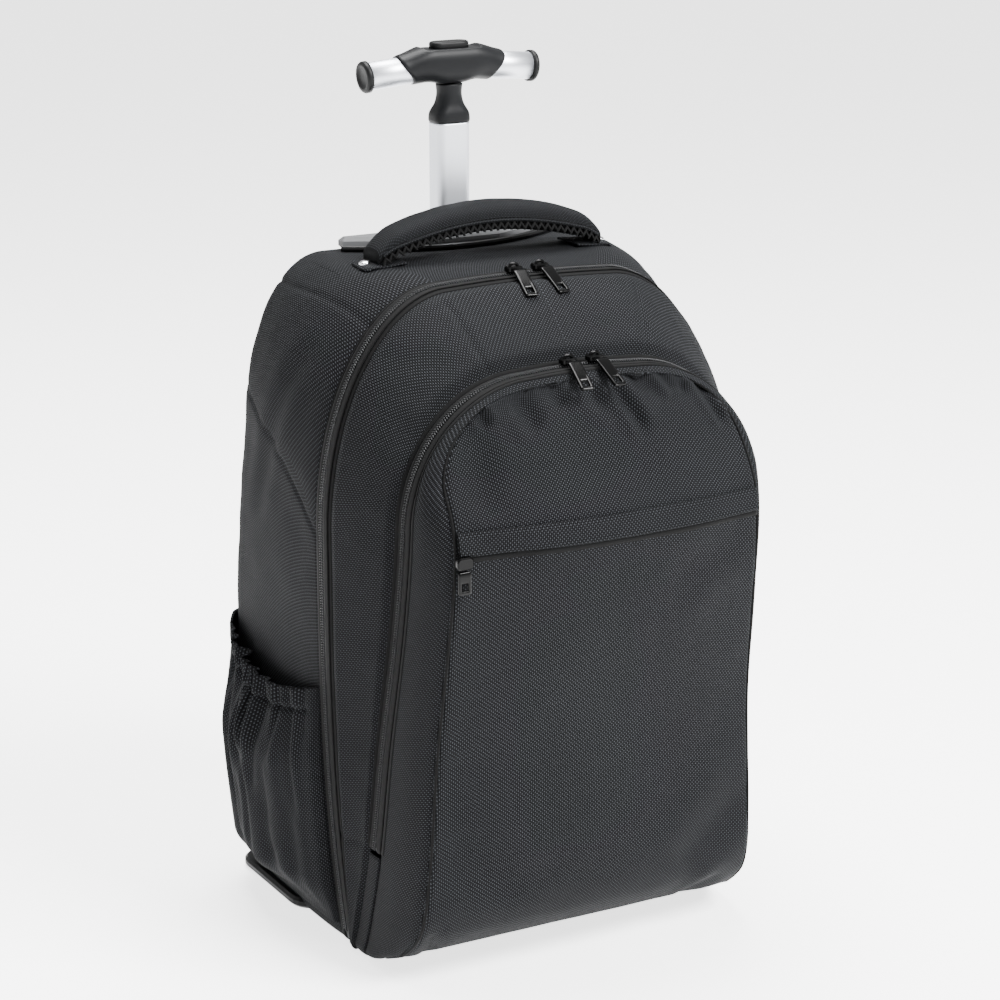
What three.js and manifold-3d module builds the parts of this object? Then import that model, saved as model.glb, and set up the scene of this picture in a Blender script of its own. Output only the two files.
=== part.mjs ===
import * as THREE from 'three';
import { mergeVertices } from 'three/addons/utils/BufferGeometryUtils.js';
import Module from 'manifold-3d';

const wasm = await Module();
wasm.setup();

// Wheeled backpack: a soft body of two zipped compartments on two wheels, with a single-post
// pull handle. Millimetres, +Z up, +X to the viewer's right, the front pocket faces -Y.
// While the pieces are made, Y = 0 is the plane of the main zip.

// Clearances
const SEAT = 0.3;
const CLOTH_SEAT = 0.8;
const SLIDING = 0.4;
const MERGE = 1e-3;
const SLIVER = 0.02;
const MOUTH_OVERLAP = 1;

// Body: the arch of the main zip, and the box behind it
const BODY_WIDTH = 335;
const BODY_HEIGHT = 510;
const BASE_WIDTH = 304;
const ZIP_ARCH_HEIGHT = 503;
const ZIP_ARCH_CROWN = 2;
const CORNER_REACH = 100;
const CORNER_DROP = 173;
const BACK_REACH = 186;
const SIDE_EDGE_RADIUS = 32;
const TOP_EDGE_RADIUS = 14;
const HEEL_RADIUS = 9;
const CLOTH = 2.5;

// Front pocket: the arch of its zip, and the seam round its front panel
const POCKET_HEIGHT = 450;
const POCKET_WIDTH = 281;
const POCKET_BASE_WIDTH = 305;
const POCKET_ARCH_REACH = 80;
const POCKET_CORNER_REACH = 97;
const POCKET_CORNER_DROP = 100;
const PANEL_WIDTH = 254;
const PANEL_BASE_WIDTH = 290;
const PANEL_CORNER_REACH = 80;
const PANEL_CORNER_DROP = 68;
const PANEL_TOP_INSET = 6;
const PANEL_LIFT = 2;
const FRONT_REACH = 130;
const FRONT_CROWN = 10;
const FRONT_SAG = 7;
const SAG_FADE = 60;
const POCKET_CLOTH = 2;

// Zips
const TAPE_THICKNESS = 1.6;
const MAIN_TAPE_FRONT = 9;
const MAIN_TAPE_REAR = 8;
const POCKET_TAPE_FRONT = 9;
const POCKET_TAPE_REAR = 7;
const COIL_WIDTH = 6;
const COIL_HEIGHT = 1.6;
const MAIN_COIL_START = 12;
const POCKET_COIL_START = 92;
const SLIDER_LENGTH = 13;
const SLIDER_WIDTH = 9;
const SLIDER_HEIGHT = 4.5;
const SLIDER_CORNER = 3;
const SLIDER_BEVEL = 1;
const PULL_LENGTH = 29;
const PULL_WIDTH = 10;
const PULL_THICKNESS = 1.8;
const PULL_WINDOW = 5.5;
const PULL_CORNER = 1.2;
const PULL_CLEARANCE = 1.5;

// Slip pocket's band across the front panel
const BAND_HEIGHT = 340;
const BAND_DEPTH = 15;
const BAND_THICKNESS = 1.5;
const BAND_COLUMNS = 9;

// Side pockets
const SIDE_POCKET_FRONT_HEIGHT = 200;
const SIDE_POCKET_BACK_HEIGHT = 234;
const SIDE_POCKET_DIP = 14;
const SIDE_POCKET_BOTTOM = 14;
const SIDE_POCKET_LENGTH = 160;
const SIDE_POCKET_START = 14;
const SIDE_POCKET_BULGE = 27;
const SIDE_POCKET_FOLD = 5;
const SIDE_POCKET_CLOTH = 2;
const SIDE_POCKET_ROUNDNESS = 0.6;
const SIDE_POCKET_RISE = 0.2;
const SIDE_POCKET_GATHER = 0.45;
const SIDE_POCKET_GATHER_START = 0.7;
const SIDE_POCKET_ROWS = 7;
const SIDE_POCKET_COLUMNS = 21;

// Carry handle
const HANDLE_SPAN = 190;
const HANDLE_RISE = 19;
const HANDLE_Y = 60;
const HANDLE_WIDTH = 30;
const HANDLE_THICKNESS = 22;
const HANDLE_END_THICKNESS = 13;
const HANDLE_ARCH_POWER = 0.8;
const HANDLE_SQUARENESS = 0.7;
const HANDLE_STEPS = 16;
const TAB_OUTSET = 12;
const TAB_LENGTH = 28;
const TAB_WIDTH = 32;
const TAB_THICKNESS = 2.5;
const TAB_ROWS = 3;
const TAB_COLUMNS = 5;
const RIVET_RADIUS = 4.5;
const RIVET_HEIGHT = 2.2;
const RIVET_EDGE = 2;

// Pull handle
const POST_Y = 115;
const POST_WIDTH = 28;
const POST_DEPTH = 22;
const POST_CORNER = 6.5;
const POST_WALL = 1.8;
const POST_LENGTH = 452;
const POST_TOP = 602;
const SLEEVE_WALL = 1.8;
const BEZEL_WIDTH = 180;
const BEZEL_DEPTH = 40;
const BEZEL_BOW = 32;
const BEZEL_HEIGHT = 10;
const BEZEL_BEVEL = 3;
const BEZEL_LIP = 2.5;
const TRIM_RADIUS = 2.2;
const TRIM_STEPS = 10;
const NECK_HEIGHT = 29;
const NECK_PLUG = 18;
const NECK_FOOT_WIDTH = 30;
const NECK_TOP_WIDTH = 19;
const GRIP_LENGTH = 137;
const GRIP_DROOP = 5;
const GRIP_TUBE_RADIUS = 10.5;
const GRIP_TUBE_WALL = 2;
const GRIP_HOUSING_TOP = 90;
const GRIP_HOUSING_FOOT = 66;
const GRIP_HOUSING_HEIGHT = 30;
const GRIP_HOUSING_DEPTH = 29;
const GRIP_SHOULDER_SHARE = 0.72;
const GRIP_BEVEL = 4;
const GRIP_CAP_RADIUS = 12;
const GRIP_CAP_LENGTH = 4;
const BUTTON_LENGTH = 32;
const BUTTON_WIDTH = 15;
const BUTTON_HEIGHT = 6;
const BUTTON_PROUD = 2;
const BUTTON_TRAVEL = 3;
const BUTTON_BEVEL = 1;

// Wheels and their housing
const WHEEL_RADIUS = 27;
const WHEEL_WIDTH = 22;
const WHEEL_Y = 167;
const WHEEL_SPREAD = 250;
const TYRE_DEPTH = 8;
const TYRE_SHOULDER = 2;
const TREAD_INSET = 3;
const HUB_INSET = 1;
const AXLE_RADIUS = 3;
const BOSS_RADIUS = 7.2;
const AXLE_SEAT_DEPTH = 10;
const WELL_CLEARANCE = 2.5;
const HOUSING_WIDTH = 284;
const HOUSING_BACK = 190;
const HOUSING_HEIGHT = 59;
const HOUSING_SHELF = 24;
const HOUSING_SHELF_LENGTH = 40;
const HOUSING_STEP = WHEEL_Y - WHEEL_RADIUS - 2 * WELL_CLEARANCE;
const TRAY_WIDTH = 320;
const TRAY_FRONT = 66;
const TRAY_HEIGHT = 9;
const TRAY_CLEARANCE = 1;
const TRAY_CORNER = 22;

// Back panel and shoulder straps
const BACK_PAD_THICKNESS = 10;
const BACK_PAD_WIDTH = 232;
const BACK_PAD_BOTTOM = 74;
const BACK_PAD_TOP = 462;
const BACK_PAD_FOOT_SHARE = 0.94;
const BACK_PAD_REACH_SHARE = 0.7;
const BACK_PAD_EDGE_SHARE = 0.6;
const STRAP_WIDTH = 58;
const STRAP_THICKNESS = 9;
const STRAP_END_SHARE = 0.45;
const STRAP_TOP = 448;
const STRAP_BOTTOM = 190;
const STRAP_TOP_SPREAD = 96;
const STRAP_BOTTOM_SPREAD = 150;
const WEBBING_WIDTH = 25;
const WEBBING_THICKNESS = 2;
const WEBBING_BOTTOM = 96;
const BAND_ROWS = 12;
const BAND_LANES = 4;

// Facets
const COLUMNS = 7;
const HEEL_STEPS = 2;
const SIDE_SHARES = [0.09, 0.23, 0.41, 0.62, 0.87, 0.95, 1];
const CORNER_STEPS = 5;
const ROUND_SIDES = 16;
const PIN_SIDES = 10;

// Sections of the rear body, from the zip to the back: how far back each lies, and its width,
// rise, corner reach and corner drop as shares of the main arch's
const REAR_SECTIONS = [
  { depth: 0.0, spread: 1.0, rise: 0.0, reach: 1.0, drop: 1.0 },
  { depth: 0.14, spread: 1.01, rise: 0.75, reach: 0.9, drop: 0.88 },
  { depth: 0.35, spread: 1.015, rise: 1.0, reach: 0.78, drop: 0.74 },
  { depth: 0.62, spread: 1.015, rise: 1.0, reach: 0.68, drop: 0.68 },
];
const REAR_EDGE = { depth: 1.0, spread: 1.005, rise: 1.0, reach: 0.66, drop: 0.7 };
const EDGE_ANGLES = [0, 35, 65, 90];

// Sections between two seams, as shares of the way from the rear one to the front one
const FRONT_MIDDLE = { half: 0.45, foot: 0.5, top: 0.42, shoulder: 0.5, reach: 0.5, depth: 0.5 };
const GUSSET_MIDDLE = { half: 0.35, foot: 0.35, top: 0.4, shoulder: 0.5, reach: 0.5, depth: 0.5 };

// Outline of the back, from the side: height as a share of the body's, reach of the back reach
const BACK_PROFILE = [
  { at: 0.0, reach: 0.97 },
  { at: 0.12, reach: 1.0 },
  { at: 0.4, reach: 0.99 },
  { at: 0.58, reach: 0.935 },
  { at: 0.73, reach: 0.855 },
  { at: 0.88, reach: 0.785 },
  { at: 1.0, reach: 0.755 },
];

// The pocket zip's line, from the side: height as a share of the pocket's, reach of the arch's
const POCKET_ZIP_PROFILE = [
  { at: 0.0, reach: 0.22 },
  { at: 0.06, reach: 0.36 },
  { at: 0.2, reach: 0.56 },
  { at: 0.4, reach: 0.69 },
  { at: 0.61, reach: 0.875 },
  { at: 0.82, reach: 1.0 },
  { at: 1.0, reach: 1.0 },
];

// The front panel's seam, from the side: height as a share of the pocket's, reach of the front's
const FRONT_PROFILE = [
  { at: 0.0, reach: 0.27 },
  { at: 0.024, reach: 0.45 },
  { at: 0.045, reach: 0.6 },
  { at: 0.1, reach: 0.78 },
  { at: 0.2, reach: 0.845 },
  { at: 0.41, reach: 0.87 },
  { at: 0.62, reach: 0.96 },
  { at: 0.735, reach: 1.0 },
  { at: 0.8, reach: 0.965 },
  { at: 0.867, reach: 0.84 },
  { at: 0.96, reach: 0.755 },
  { at: 1.0, reach: 0.735 },
];

// Main dents of the front panel: place as shares of its half width and the pocket's height,
// size as shares of the same, and depth as a share of the crown
const FRONT_DENTS = [
  { across: 0.34, up: 0.9, wide: 0.4, tall: 0.03, depth: 0.35 },
  { across: -0.72, up: 0.87, wide: 0.16, tall: 0.05, depth: 0.3 },
  { across: 0.3, up: 0.3, wide: 0.5, tall: 0.2, depth: 0.3 },
];

// Vertical folds of a side pocket: place along it, width and depth as shares
const SIDE_FOLDS = [
  { along: 0.16, wide: 0.045, depth: 0.7 },
  { along: 0.34, wide: 0.05, depth: 1.0 },
  { along: 0.52, wide: 0.04, depth: 0.6 },
  { along: 0.7, wide: 0.05, depth: 0.9 },
  { along: 0.86, wide: 0.04, depth: 0.5 },
];

// Thickness of the carry handle along its length, as shares of its full section
const HANDLE_PROFILE = [
  { at: 0.0, thick: 0.0, wide: 0.86 },
  { at: 0.1, thick: 0.75, wide: 1.0 },
  { at: 0.25, thick: 1.0, wide: 1.0 },
  { at: 0.75, thick: 1.0, wide: 1.0 },
  { at: 0.9, thick: 0.75, wide: 1.0 },
  { at: 1.0, thick: 0.0, wide: 0.86 },
];

// The neck of the pull handle: height, and how far it has narrowed from foot to top
const NECK_PROFILE = [
  { at: 0.0, narrowed: 0.0 },
  { at: 0.25, narrowed: 0.12 },
  { at: 0.5, narrowed: 0.75 },
  { at: 0.75, narrowed: 1.0 },
  { at: 1.0, narrowed: 0.9 },
];

// Section of a rivet's head, as shares of its radius and height
const RIVET_PROFILE = [
  { out: 0.0, up: 0.0 },
  { out: 1.0, up: 0.0 },
  { out: 0.85, up: 0.6 },
  { out: 0.45, up: 0.95 },
  { out: 0.0, up: 1.0 },
];

// Zip sliders in pairs: distance from the middle, and how far each pull leans to the side
const SLIDERS = [
  { name: 'left', x: -8, lean: -0.1 },
  { name: 'right', x: 14, lean: 0.1 },
];
const MAIN_PULL_FALL = 0.66;
const POCKET_PULL_FALL = 0.62;

const SIDES = [
  { name: 'left', side: -1 },
  { name: 'right', side: 1 },
];

const CHARCOAL = { color: 0x2b2d31, roughness: 0.85, metalness: 0 };
const TAPE_BLACK = { color: 0x202124, roughness: 0.7, metalness: 0 };
const MESH_BLACK = { color: 0x1c1d1f, roughness: 0.9, metalness: 0 };
const PLASTIC_BLACK = { color: 0x1b1b1d, roughness: 0.45, metalness: 0 };
const PLASTIC_GREY = { color: 0x77797d, roughness: 0.4, metalness: 0 };
const GLOSS_BLACK = { color: 0x101012, roughness: 0.2, metalness: 0.3 };
const ALUMINIUM = { color: 0xc6c9cd, roughness: 0.35, metalness: 0.9 };
const CHROME = { color: 0xe2e4e6, roughness: 0.12, metalness: 1 };
const RUBBER = { color: 0x18181a, roughness: 0.8, metalness: 0 };

const bag = new THREE.Group();

// Adds one named piece with its own material
function add(name, geometry, finish) {
  const mesh = new THREE.Mesh(geometry, new THREE.MeshStandardMaterial(finish));
  mesh.name = name;
  bag.add(mesh);
  return mesh;
}

function lerp(a, b, share) {
  return a + (b - a) * share;
}

function clamp01(value) {
  return Math.min(1, Math.max(0, value));
}

function smooth(share) {
  const t = clamp01(share);
  return t * t * (3 - 2 * t);
}

function bell(distance, width) {
  return Math.exp(-((distance / width) ** 2));
}

// Reads a column of a table at a height between its rows, along a smooth curve
function readTable(rows, column, at) {
  const last = rows.length - 1;
  if (at <= rows[0].at) {
    return rows[0][column];
  }
  if (at >= rows[last].at) {
    return rows[last][column];
  }
  const upper = rows.findIndex((row) => row.at > at);
  const lower = upper - 1;
  const slope = (from, to) => (rows[to][column] - rows[from][column]) / (rows[to].at - rows[from].at);
  const slopeLow = slope(Math.max(lower - 1, 0), upper);
  const slopeHigh = slope(lower, Math.min(upper + 1, last));
  const width = rows[upper].at - rows[lower].at;
  const t = (at - rows[lower].at) / width;
  const rest = 1 - t;
  const low = rows[lower][column] * (1 + 2 * t) * rest * rest + slopeLow * width * t * rest * rest;
  const high = rows[upper][column] * (3 - 2 * t) * t * t - slopeHigh * width * rest * t * t;
  return low + high;
}

function backAt(z) {
  return BACK_REACH * readTable(BACK_PROFILE, 'reach', z / BODY_HEIGHT);
}

function pocketZipAt(z) {
  return -POCKET_ARCH_REACH * readTable(POCKET_ZIP_PROFILE, 'reach', z / POCKET_HEIGHT);
}

// The front panel at a height, and at a share across its half width
function frontAt(z, across) {
  const up = z / POCKET_HEIGHT;
  const seam = FRONT_REACH * readTable(FRONT_PROFILE, 'reach', up);
  const fill = smooth(up / 0.2) * smooth((1 - up) / 0.12);
  let crown = FRONT_CROWN * fill * (1 - across * across);
  for (const dent of FRONT_DENTS) {
    const near = bell(across - dent.across, dent.wide) * bell(up - dent.up, dent.tall);
    crown -= FRONT_CROWN * dent.depth * near * fill * (1 - across ** 4);
  }
  return -seam - crown;
}

// Ways in which an arch's half width goes from its foot to its shoulder
const quickTaper = (share) => 1 - (1 - share) ** 3;
const evenTaper = (share) => 1 - (1 - share) ** 1.5;

// An arch drawn as a grid of points, row by row from its base to its crown: the edge of the
// grid is the arch's outline, and the inside of the grid closes it as a wall
function archGrid(shape) {
  const rows = [{ x: shape.foot - shape.heel, z: shape.base, crown: 0 }];
  for (let step = 1; step <= HEEL_STEPS; step += 1) {
    const share = step / HEEL_STEPS;
    const angle = (share * Math.PI) / 2;
    const x = shape.foot - shape.heel * (1 - Math.sin(angle));
    const z = shape.base + shape.heel * (1 - Math.cos(angle));
    rows.push({ x, z, crown: 0 });
  }
  const sideStart = shape.base + shape.heel;
  for (const share of SIDE_SHARES) {
    const x = lerp(shape.foot, shape.half, shape.ease(share));
    rows.push({ x, z: lerp(sideStart, shape.shoulder, share), crown: 0 });
  }
  for (let step = 1; step <= CORNER_STEPS; step += 1) {
    const angle = (step / CORNER_STEPS) * (Math.PI / 2);
    const x = shape.half - shape.reach * (1 - Math.cos(angle));
    const z = shape.shoulder + (shape.top - shape.shoulder) * Math.sin(angle);
    rows.push({ x, z, crown: Math.sin(angle) ** 4 });
  }
  return rows.map((row) => {
    const lift = 1 - smooth((row.z - shape.base) / SAG_FADE);
    const points = [];
    for (let column = 0; column < COLUMNS; column += 1) {
      const across = (2 * column) / (COLUMNS - 1) - 1;
      const swell = (row.crown * shape.crown + lift * shape.lift) * (1 - across * across);
      const z = row.z + swell;
      points.push(new THREE.Vector3(row.x * across, shape.surface(z, across), z));
    }
    return points;
  });
}

// The grid's edge as one loop: along the base, up the right, over the crown, down the left
function outlineOf(grid) {
  const last = grid.length - 1;
  const right = grid.slice(1, last).map((row) => row[COLUMNS - 1]);
  const left = grid.slice(1, last).map((row) => row[0]);
  return [...grid[0], ...right, ...[...grid[last]].reverse(), ...left.reverse()];
}

// The same arch, moved inwards by a wall
function inset(shape, wall) {
  const half = shape.half - wall;
  const foot = shape.foot - wall;
  const reach = Math.max(shape.reach - wall, wall);
  const heel = Math.max(shape.heel - wall, wall);
  return { ...shape, half, foot, reach, heel, base: shape.base + wall, top: shape.top - wall };
}

// Turns a list of corner triples into a closed body whose faces point out
function closedBody(points, triangles) {
  let volume = 0;
  for (const [a, b, c] of triangles) {
    volume += points[a].dot(new THREE.Vector3().crossVectors(points[b], points[c]));
  }
  const facing = volume > 0 ? triangles : triangles.map(([a, b, c]) => [a, c, b]);
  const geometry = new THREE.BufferGeometry().setFromPoints(points);
  geometry.setIndex(facing.flat());
  const merged = mergeVertices(geometry, MERGE);
  merged.computeVertexNormals();
  return merged;
}

// Closed body through a row of arches: walls close the first and the last
function loftArches(shapes) {
  const points = [];
  const triangles = [];
  const quad = (a, b, c, d) => triangles.push([a, b, c], [a, c, d]);
  const grids = shapes.map(archGrid);
  const loops = grids.map((grid) => {
    const start = points.length;
    const loop = outlineOf(grid);
    points.push(...loop);
    return loop.map((_, index) => start + index);
  });
  for (let ring = 1; ring < loops.length; ring += 1) {
    const near = loops[ring - 1];
    const far = loops[ring];
    near.forEach((_, index) => {
      const next = (index + 1) % near.length;
      quad(near[index], far[index], far[next], near[next]);
    });
  }
  const wall = (grid, backwards) => {
    const start = points.length;
    points.push(...grid.flat());
    for (let row = 1; row < grid.length; row += 1) {
      for (let column = 1; column < COLUMNS; column += 1) {
        const high = start + row * COLUMNS + column;
        const low = high - COLUMNS;
        if (backwards) {
          quad(low - 1, high - 1, high, low);
        } else {
          quad(low - 1, low, high, high - 1);
        }
      }
    }
  };
  wall(grids[0], false);
  wall(grids[grids.length - 1], true);
  return closedBody(points, triangles);
}

// Closed body through a row of loops with as many points each, closed flat at both ends,
// or running round and back to its start
function loftLoops(loops, round = false) {
  const points = loops.flat();
  const triangles = [];
  const size = loops[0].length;
  const bands = round ? loops.length : loops.length - 1;
  for (let band = 0; band < bands; band += 1) {
    const near = band * size;
    const far = ((band + 1) % loops.length) * size;
    for (let index = 0; index < size; index += 1) {
      const next = (index + 1) % size;
      triangles.push([near + index, far + index, far + next]);
      triangles.push([near + index, far + next, near + next]);
    }
  }
  if (!round) {
    const last = (loops.length - 1) * size;
    for (let index = 1; index < size - 1; index += 1) {
      triangles.push([0, index, index + 1]);
      triangles.push([last, last + index + 1, last + index]);
    }
  }
  return closedBody(points, triangles);
}

// Slab between two sheets of points with the same rows and columns
function slab(rows, columns, inner, outer) {
  const loops = [];
  for (let row = 0; row < rows; row += 1) {
    const near = [];
    const far = [];
    for (let column = 0; column < columns; column += 1) {
      near.push(inner(row / (rows - 1), column / (columns - 1)));
      far.push(outer(row / (rows - 1), column / (columns - 1)));
    }
    loops.push([...near, ...far.reverse()]);
  }
  const points = loops.flat();
  const triangles = [];
  const size = loops[0].length;
  for (let row = 1; row < rows; row += 1) {
    for (let index = 0; index < size; index += 1) {
      const next = (index + 1) % size;
      const a = (row - 1) * size + index;
      const b = row * size + index;
      const c = row * size + next;
      const d = (row - 1) * size + next;
      triangles.push([a, b, c], [a, c, d]);
    }
  }
  const end = (start, turned) => {
    for (let column = 1; column < columns; column += 1) {
      const a = start + column - 1;
      const b = start + column;
      const c = start + size - 1 - column;
      const d = start + size - column;
      triangles.push(turned ? [a, c, b] : [a, b, c]);
      triangles.push(turned ? [a, d, c] : [a, c, d]);
    }
  };
  end(0, false);
  end((rows - 1) * size, true);
  return closedBody(points, triangles);
}

function toSolid(geometry) {
  const bare = geometry.index ? geometry.clone() : mergeVertices(geometry, MERGE);
  bare.deleteAttribute('normal');
  bare.deleteAttribute('uv');
  const merged = mergeVertices(bare, MERGE);
  const vertProperties = new Float32Array(merged.attributes.position.array);
  const triVerts = new Uint32Array(merged.index.array);
  return new wasm.Manifold(new wasm.Mesh({ numProp: 3, vertProperties, triVerts }));
}

// Turns a solid back into a mesh, without the slivers that cutting leaves
function toGeometry(solid) {
  const mesh = solid.simplify(SLIVER).getMesh();
  const geometry = new THREE.BufferGeometry();
  geometry.setAttribute('position', new THREE.BufferAttribute(new Float32Array(mesh.vertProperties), 3));
  geometry.setIndex(new THREE.BufferAttribute(new Uint32Array(mesh.triVerts), 1));
  geometry.computeVertexNormals();
  return geometry;
}

// A plan outline in X and Y, raised from one height to another, with any bevel inside its size
function raised(shape, from, to, bevel = 0, facets = 3) {
  const settings = { depth: to - from - 2 * bevel, bevelEnabled: bevel > 0 };
  settings.bevelThickness = bevel;
  settings.bevelSize = bevel;
  settings.bevelOffset = -bevel;
  settings.bevelSegments = 1;
  settings.curveSegments = facets;
  return new THREE.ExtrudeGeometry(shape, settings).translate(0, 0, from + bevel);
}

// A side outline in Y and Z, extruded along X about the middle
function extrudedAcross(shape, width) {
  const geometry = new THREE.ExtrudeGeometry(shape, { depth: width, bevelEnabled: false });
  geometry.rotateX(Math.PI / 2).rotateZ(Math.PI / 2);
  return geometry.translate(-width / 2, 0, 0);
}

function roundedRectangle(width, depth, corner) {
  const x = width / 2;
  const y = depth / 2;
  const shape = new THREE.Shape();
  shape.moveTo(-x + corner, -y);
  shape.lineTo(x - corner, -y);
  shape.absarc(x - corner, -y + corner, corner, -Math.PI / 2, 0);
  shape.lineTo(x, y - corner);
  shape.absarc(x - corner, y - corner, corner, 0, Math.PI / 2);
  shape.lineTo(-x + corner, y);
  shape.absarc(-x + corner, y - corner, corner, Math.PI / 2, Math.PI);
  shape.lineTo(-x, -y + corner);
  shape.absarc(-x + corner, -y + corner, corner, Math.PI, 1.5 * Math.PI);
  return shape;
}

// A long oval with half-round ends
function stadium(length, width) {
  const radius = width / 2;
  const straight = length / 2 - radius;
  const shape = new THREE.Shape();
  shape.absarc(straight, 0, radius, -Math.PI / 2, Math.PI / 2);
  shape.absarc(-straight, 0, radius, Math.PI / 2, 1.5 * Math.PI);
  shape.closePath();
  return shape;
}

// Cylinder whose axis lies along X
function cylinderAcross(radius, length, sides) {
  return new THREE.CylinderGeometry(radius, radius, length, sides).rotateZ(Math.PI / 2);
}

// The arch that the main zip follows
const mainArch = {
  half: BODY_WIDTH / 2,
  foot: BASE_WIDTH / 2,
  base: 0,
  heel: HEEL_RADIUS,
  shoulder: ZIP_ARCH_HEIGHT - CORNER_DROP,
  top: ZIP_ARCH_HEIGHT,
  reach: CORNER_REACH,
  crown: ZIP_ARCH_CROWN,
  lift: 0,
  ease: quickTaper,
  surface: () => 0,
};

// The arch that the pocket's zip follows
const pocketArch = {
  half: POCKET_WIDTH / 2,
  foot: POCKET_BASE_WIDTH / 2,
  base: 0,
  heel: HEEL_RADIUS,
  shoulder: POCKET_HEIGHT - POCKET_CORNER_DROP,
  top: POCKET_HEIGHT,
  reach: POCKET_CORNER_REACH,
  crown: ZIP_ARCH_CROWN,
  lift: FRONT_SAG / 2,
  ease: smooth,
  surface: (z) => pocketZipAt(z),
};

// The seam round the pocket's front panel
const panelSeam = {
  half: PANEL_WIDTH / 2,
  foot: PANEL_BASE_WIDTH / 2,
  base: PANEL_LIFT,
  heel: HEEL_RADIUS,
  shoulder: POCKET_HEIGHT - PANEL_TOP_INSET - PANEL_CORNER_DROP,
  top: POCKET_HEIGHT - PANEL_TOP_INSET,
  reach: PANEL_CORNER_REACH,
  crown: ZIP_ARCH_CROWN,
  lift: FRONT_SAG,
  ease: evenTaper,
  surface: frontAt,
};

const moved = (shape, offset) => ({ ...shape, surface: (z, across) => shape.surface(z, across) + offset });

// One section of the rear body
function rearArch(row) {
  const top = lerp(ZIP_ARCH_HEIGHT, BODY_HEIGHT, row.rise);
  return {
    ...mainArch,
    half: mainArch.half * row.spread,
    foot: mainArch.foot * row.spread,
    top,
    shoulder: top - CORNER_DROP * row.drop,
    reach: CORNER_REACH * row.reach,
    crown: ZIP_ARCH_CROWN * (1 - row.rise),
    surface: (z) => lerp(MAIN_TAPE_REAR + SEAT, backAt(z), row.depth),
  };
}

// One step round the rear body's back edge
function rearEdge(degrees) {
  const angle = THREE.MathUtils.degToRad(degrees);
  const square = rearArch(REAR_EDGE);
  const round = 1 - Math.cos(angle);
  const radius = (z) => {
    const share = smooth((z - square.shoulder) / (square.top - square.shoulder));
    return lerp(SIDE_EDGE_RADIUS, TOP_EDGE_RADIUS, share);
  };
  return {
    ...square,
    half: square.half - SIDE_EDGE_RADIUS * round,
    foot: square.foot - SIDE_EDGE_RADIUS * round,
    reach: square.reach - (SIDE_EDGE_RADIUS - TOP_EDGE_RADIUS) * round,
    top: square.top - TOP_EDGE_RADIUS * round,
    base: TOP_EDGE_RADIUS * round,
    surface: (z) => backAt(z) - radius(z) * (1 - Math.sin(angle)),
  };
}

// Side outline of the wheel housing's block, grown outwards by a gap
function housingOutline(gap) {
  const shape = new THREE.Shape();
  const floor = TRAY_HEIGHT / 2;
  const back = HOUSING_BACK + (gap > 0 ? SIDE_EDGE_RADIUS : 0);
  const front = HOUSING_STEP - HOUSING_SHELF_LENGTH - gap;
  shape.moveTo(front, floor);
  shape.lineTo(front, HOUSING_SHELF + gap);
  shape.lineTo(HOUSING_STEP - gap, HOUSING_SHELF + gap);
  shape.lineTo(HOUSING_STEP - gap, HOUSING_HEIGHT + gap);
  shape.lineTo(back, HOUSING_HEIGHT + gap);
  shape.lineTo(back, floor);
  shape.closePath();
  return shape;
}

// Plan outline of the tray under the housing's block, grown outwards by a gap
function trayOutline(gap) {
  const half = TRAY_WIDTH / 2 + gap;
  const front = TRAY_FRONT - gap;
  const back = HOUSING_BACK + gap;
  const corner = TRAY_CORNER + gap;
  const shape = new THREE.Shape();
  shape.moveTo(-half + corner, front);
  shape.lineTo(half - corner, front);
  shape.absarc(half - corner, front + corner, corner, -Math.PI / 2, 0);
  shape.lineTo(half, back - corner);
  shape.absarc(half - corner, back - corner, corner, 0, Math.PI / 2);
  shape.lineTo(-half + corner, back);
  shape.absarc(-half + corner, back - corner, corner, Math.PI / 2, Math.PI);
  shape.lineTo(-half, front + corner);
  shape.absarc(-half + corner, front + corner, corner, Math.PI, 1.5 * Math.PI);
  return shape;
}

// The housing's block and tray as one solid, grown by a gap and, at no gap, open to the ground
function housingSolid(gap) {
  const block = toSolid(extrudedAcross(housingOutline(gap), HOUSING_WIDTH + 2 * gap));
  const floor = gap > 0 ? -TRAY_HEIGHT : TRAY_CLEARANCE;
  const bevel = gap > 0 ? 0 : TRAY_HEIGHT / 4;
  return block.add(toSolid(raised(trayOutline(gap), floor, TRAY_HEIGHT + gap, bevel)));
}

function postSection(gap) {
  return roundedRectangle(POST_WIDTH + 2 * gap, POST_DEPTH + 2 * gap, POST_CORNER + gap);
}

const SLEEVE_GROWTH = SLIDING + SLEEVE_WALL;
const SLEEVE_TOP = BODY_HEIGHT + BEZEL_HEIGHT / 2;
const SLEEVE_FOOT = HOUSING_SHELF + CLOTH + 3 * SEAT;

// The rear body: an open box of cloth behind the main zip
function addRearShell() {
  const sections = REAR_SECTIONS.map(rearArch);
  const outer = loftArches([...sections, ...EDGE_ANGLES.map(rearEdge)]);
  const mouth = moved(sections[0], -MOUTH_OVERLAP);
  const innerSections = [mouth, ...sections.slice(1), ...EDGE_ANGLES.map(rearEdge)];
  const inner = loftArches(
    innerSections.map((shape, index) => moved(inset(shape, CLOTH), index > 0 ? -CLOTH : 0)),
  );
  const notch = housingSolid(SEAT);
  const notchWall = housingSolid(SEAT + CLOTH);
  const sleeveHole = raised(postSection(SLEEVE_GROWTH + SEAT), BODY_HEIGHT / 2, 2 * BODY_HEIGHT);
  sleeveHole.translate(0, POST_Y, 0);
  const hollow = toSolid(inner).subtract(notchWall);
  const cloth = toSolid(outer).subtract(notch).subtract(hollow).subtract(toSolid(sleeveHole));
  add('rear_shell', toGeometry(cloth), CHARCOAL);
}

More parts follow.
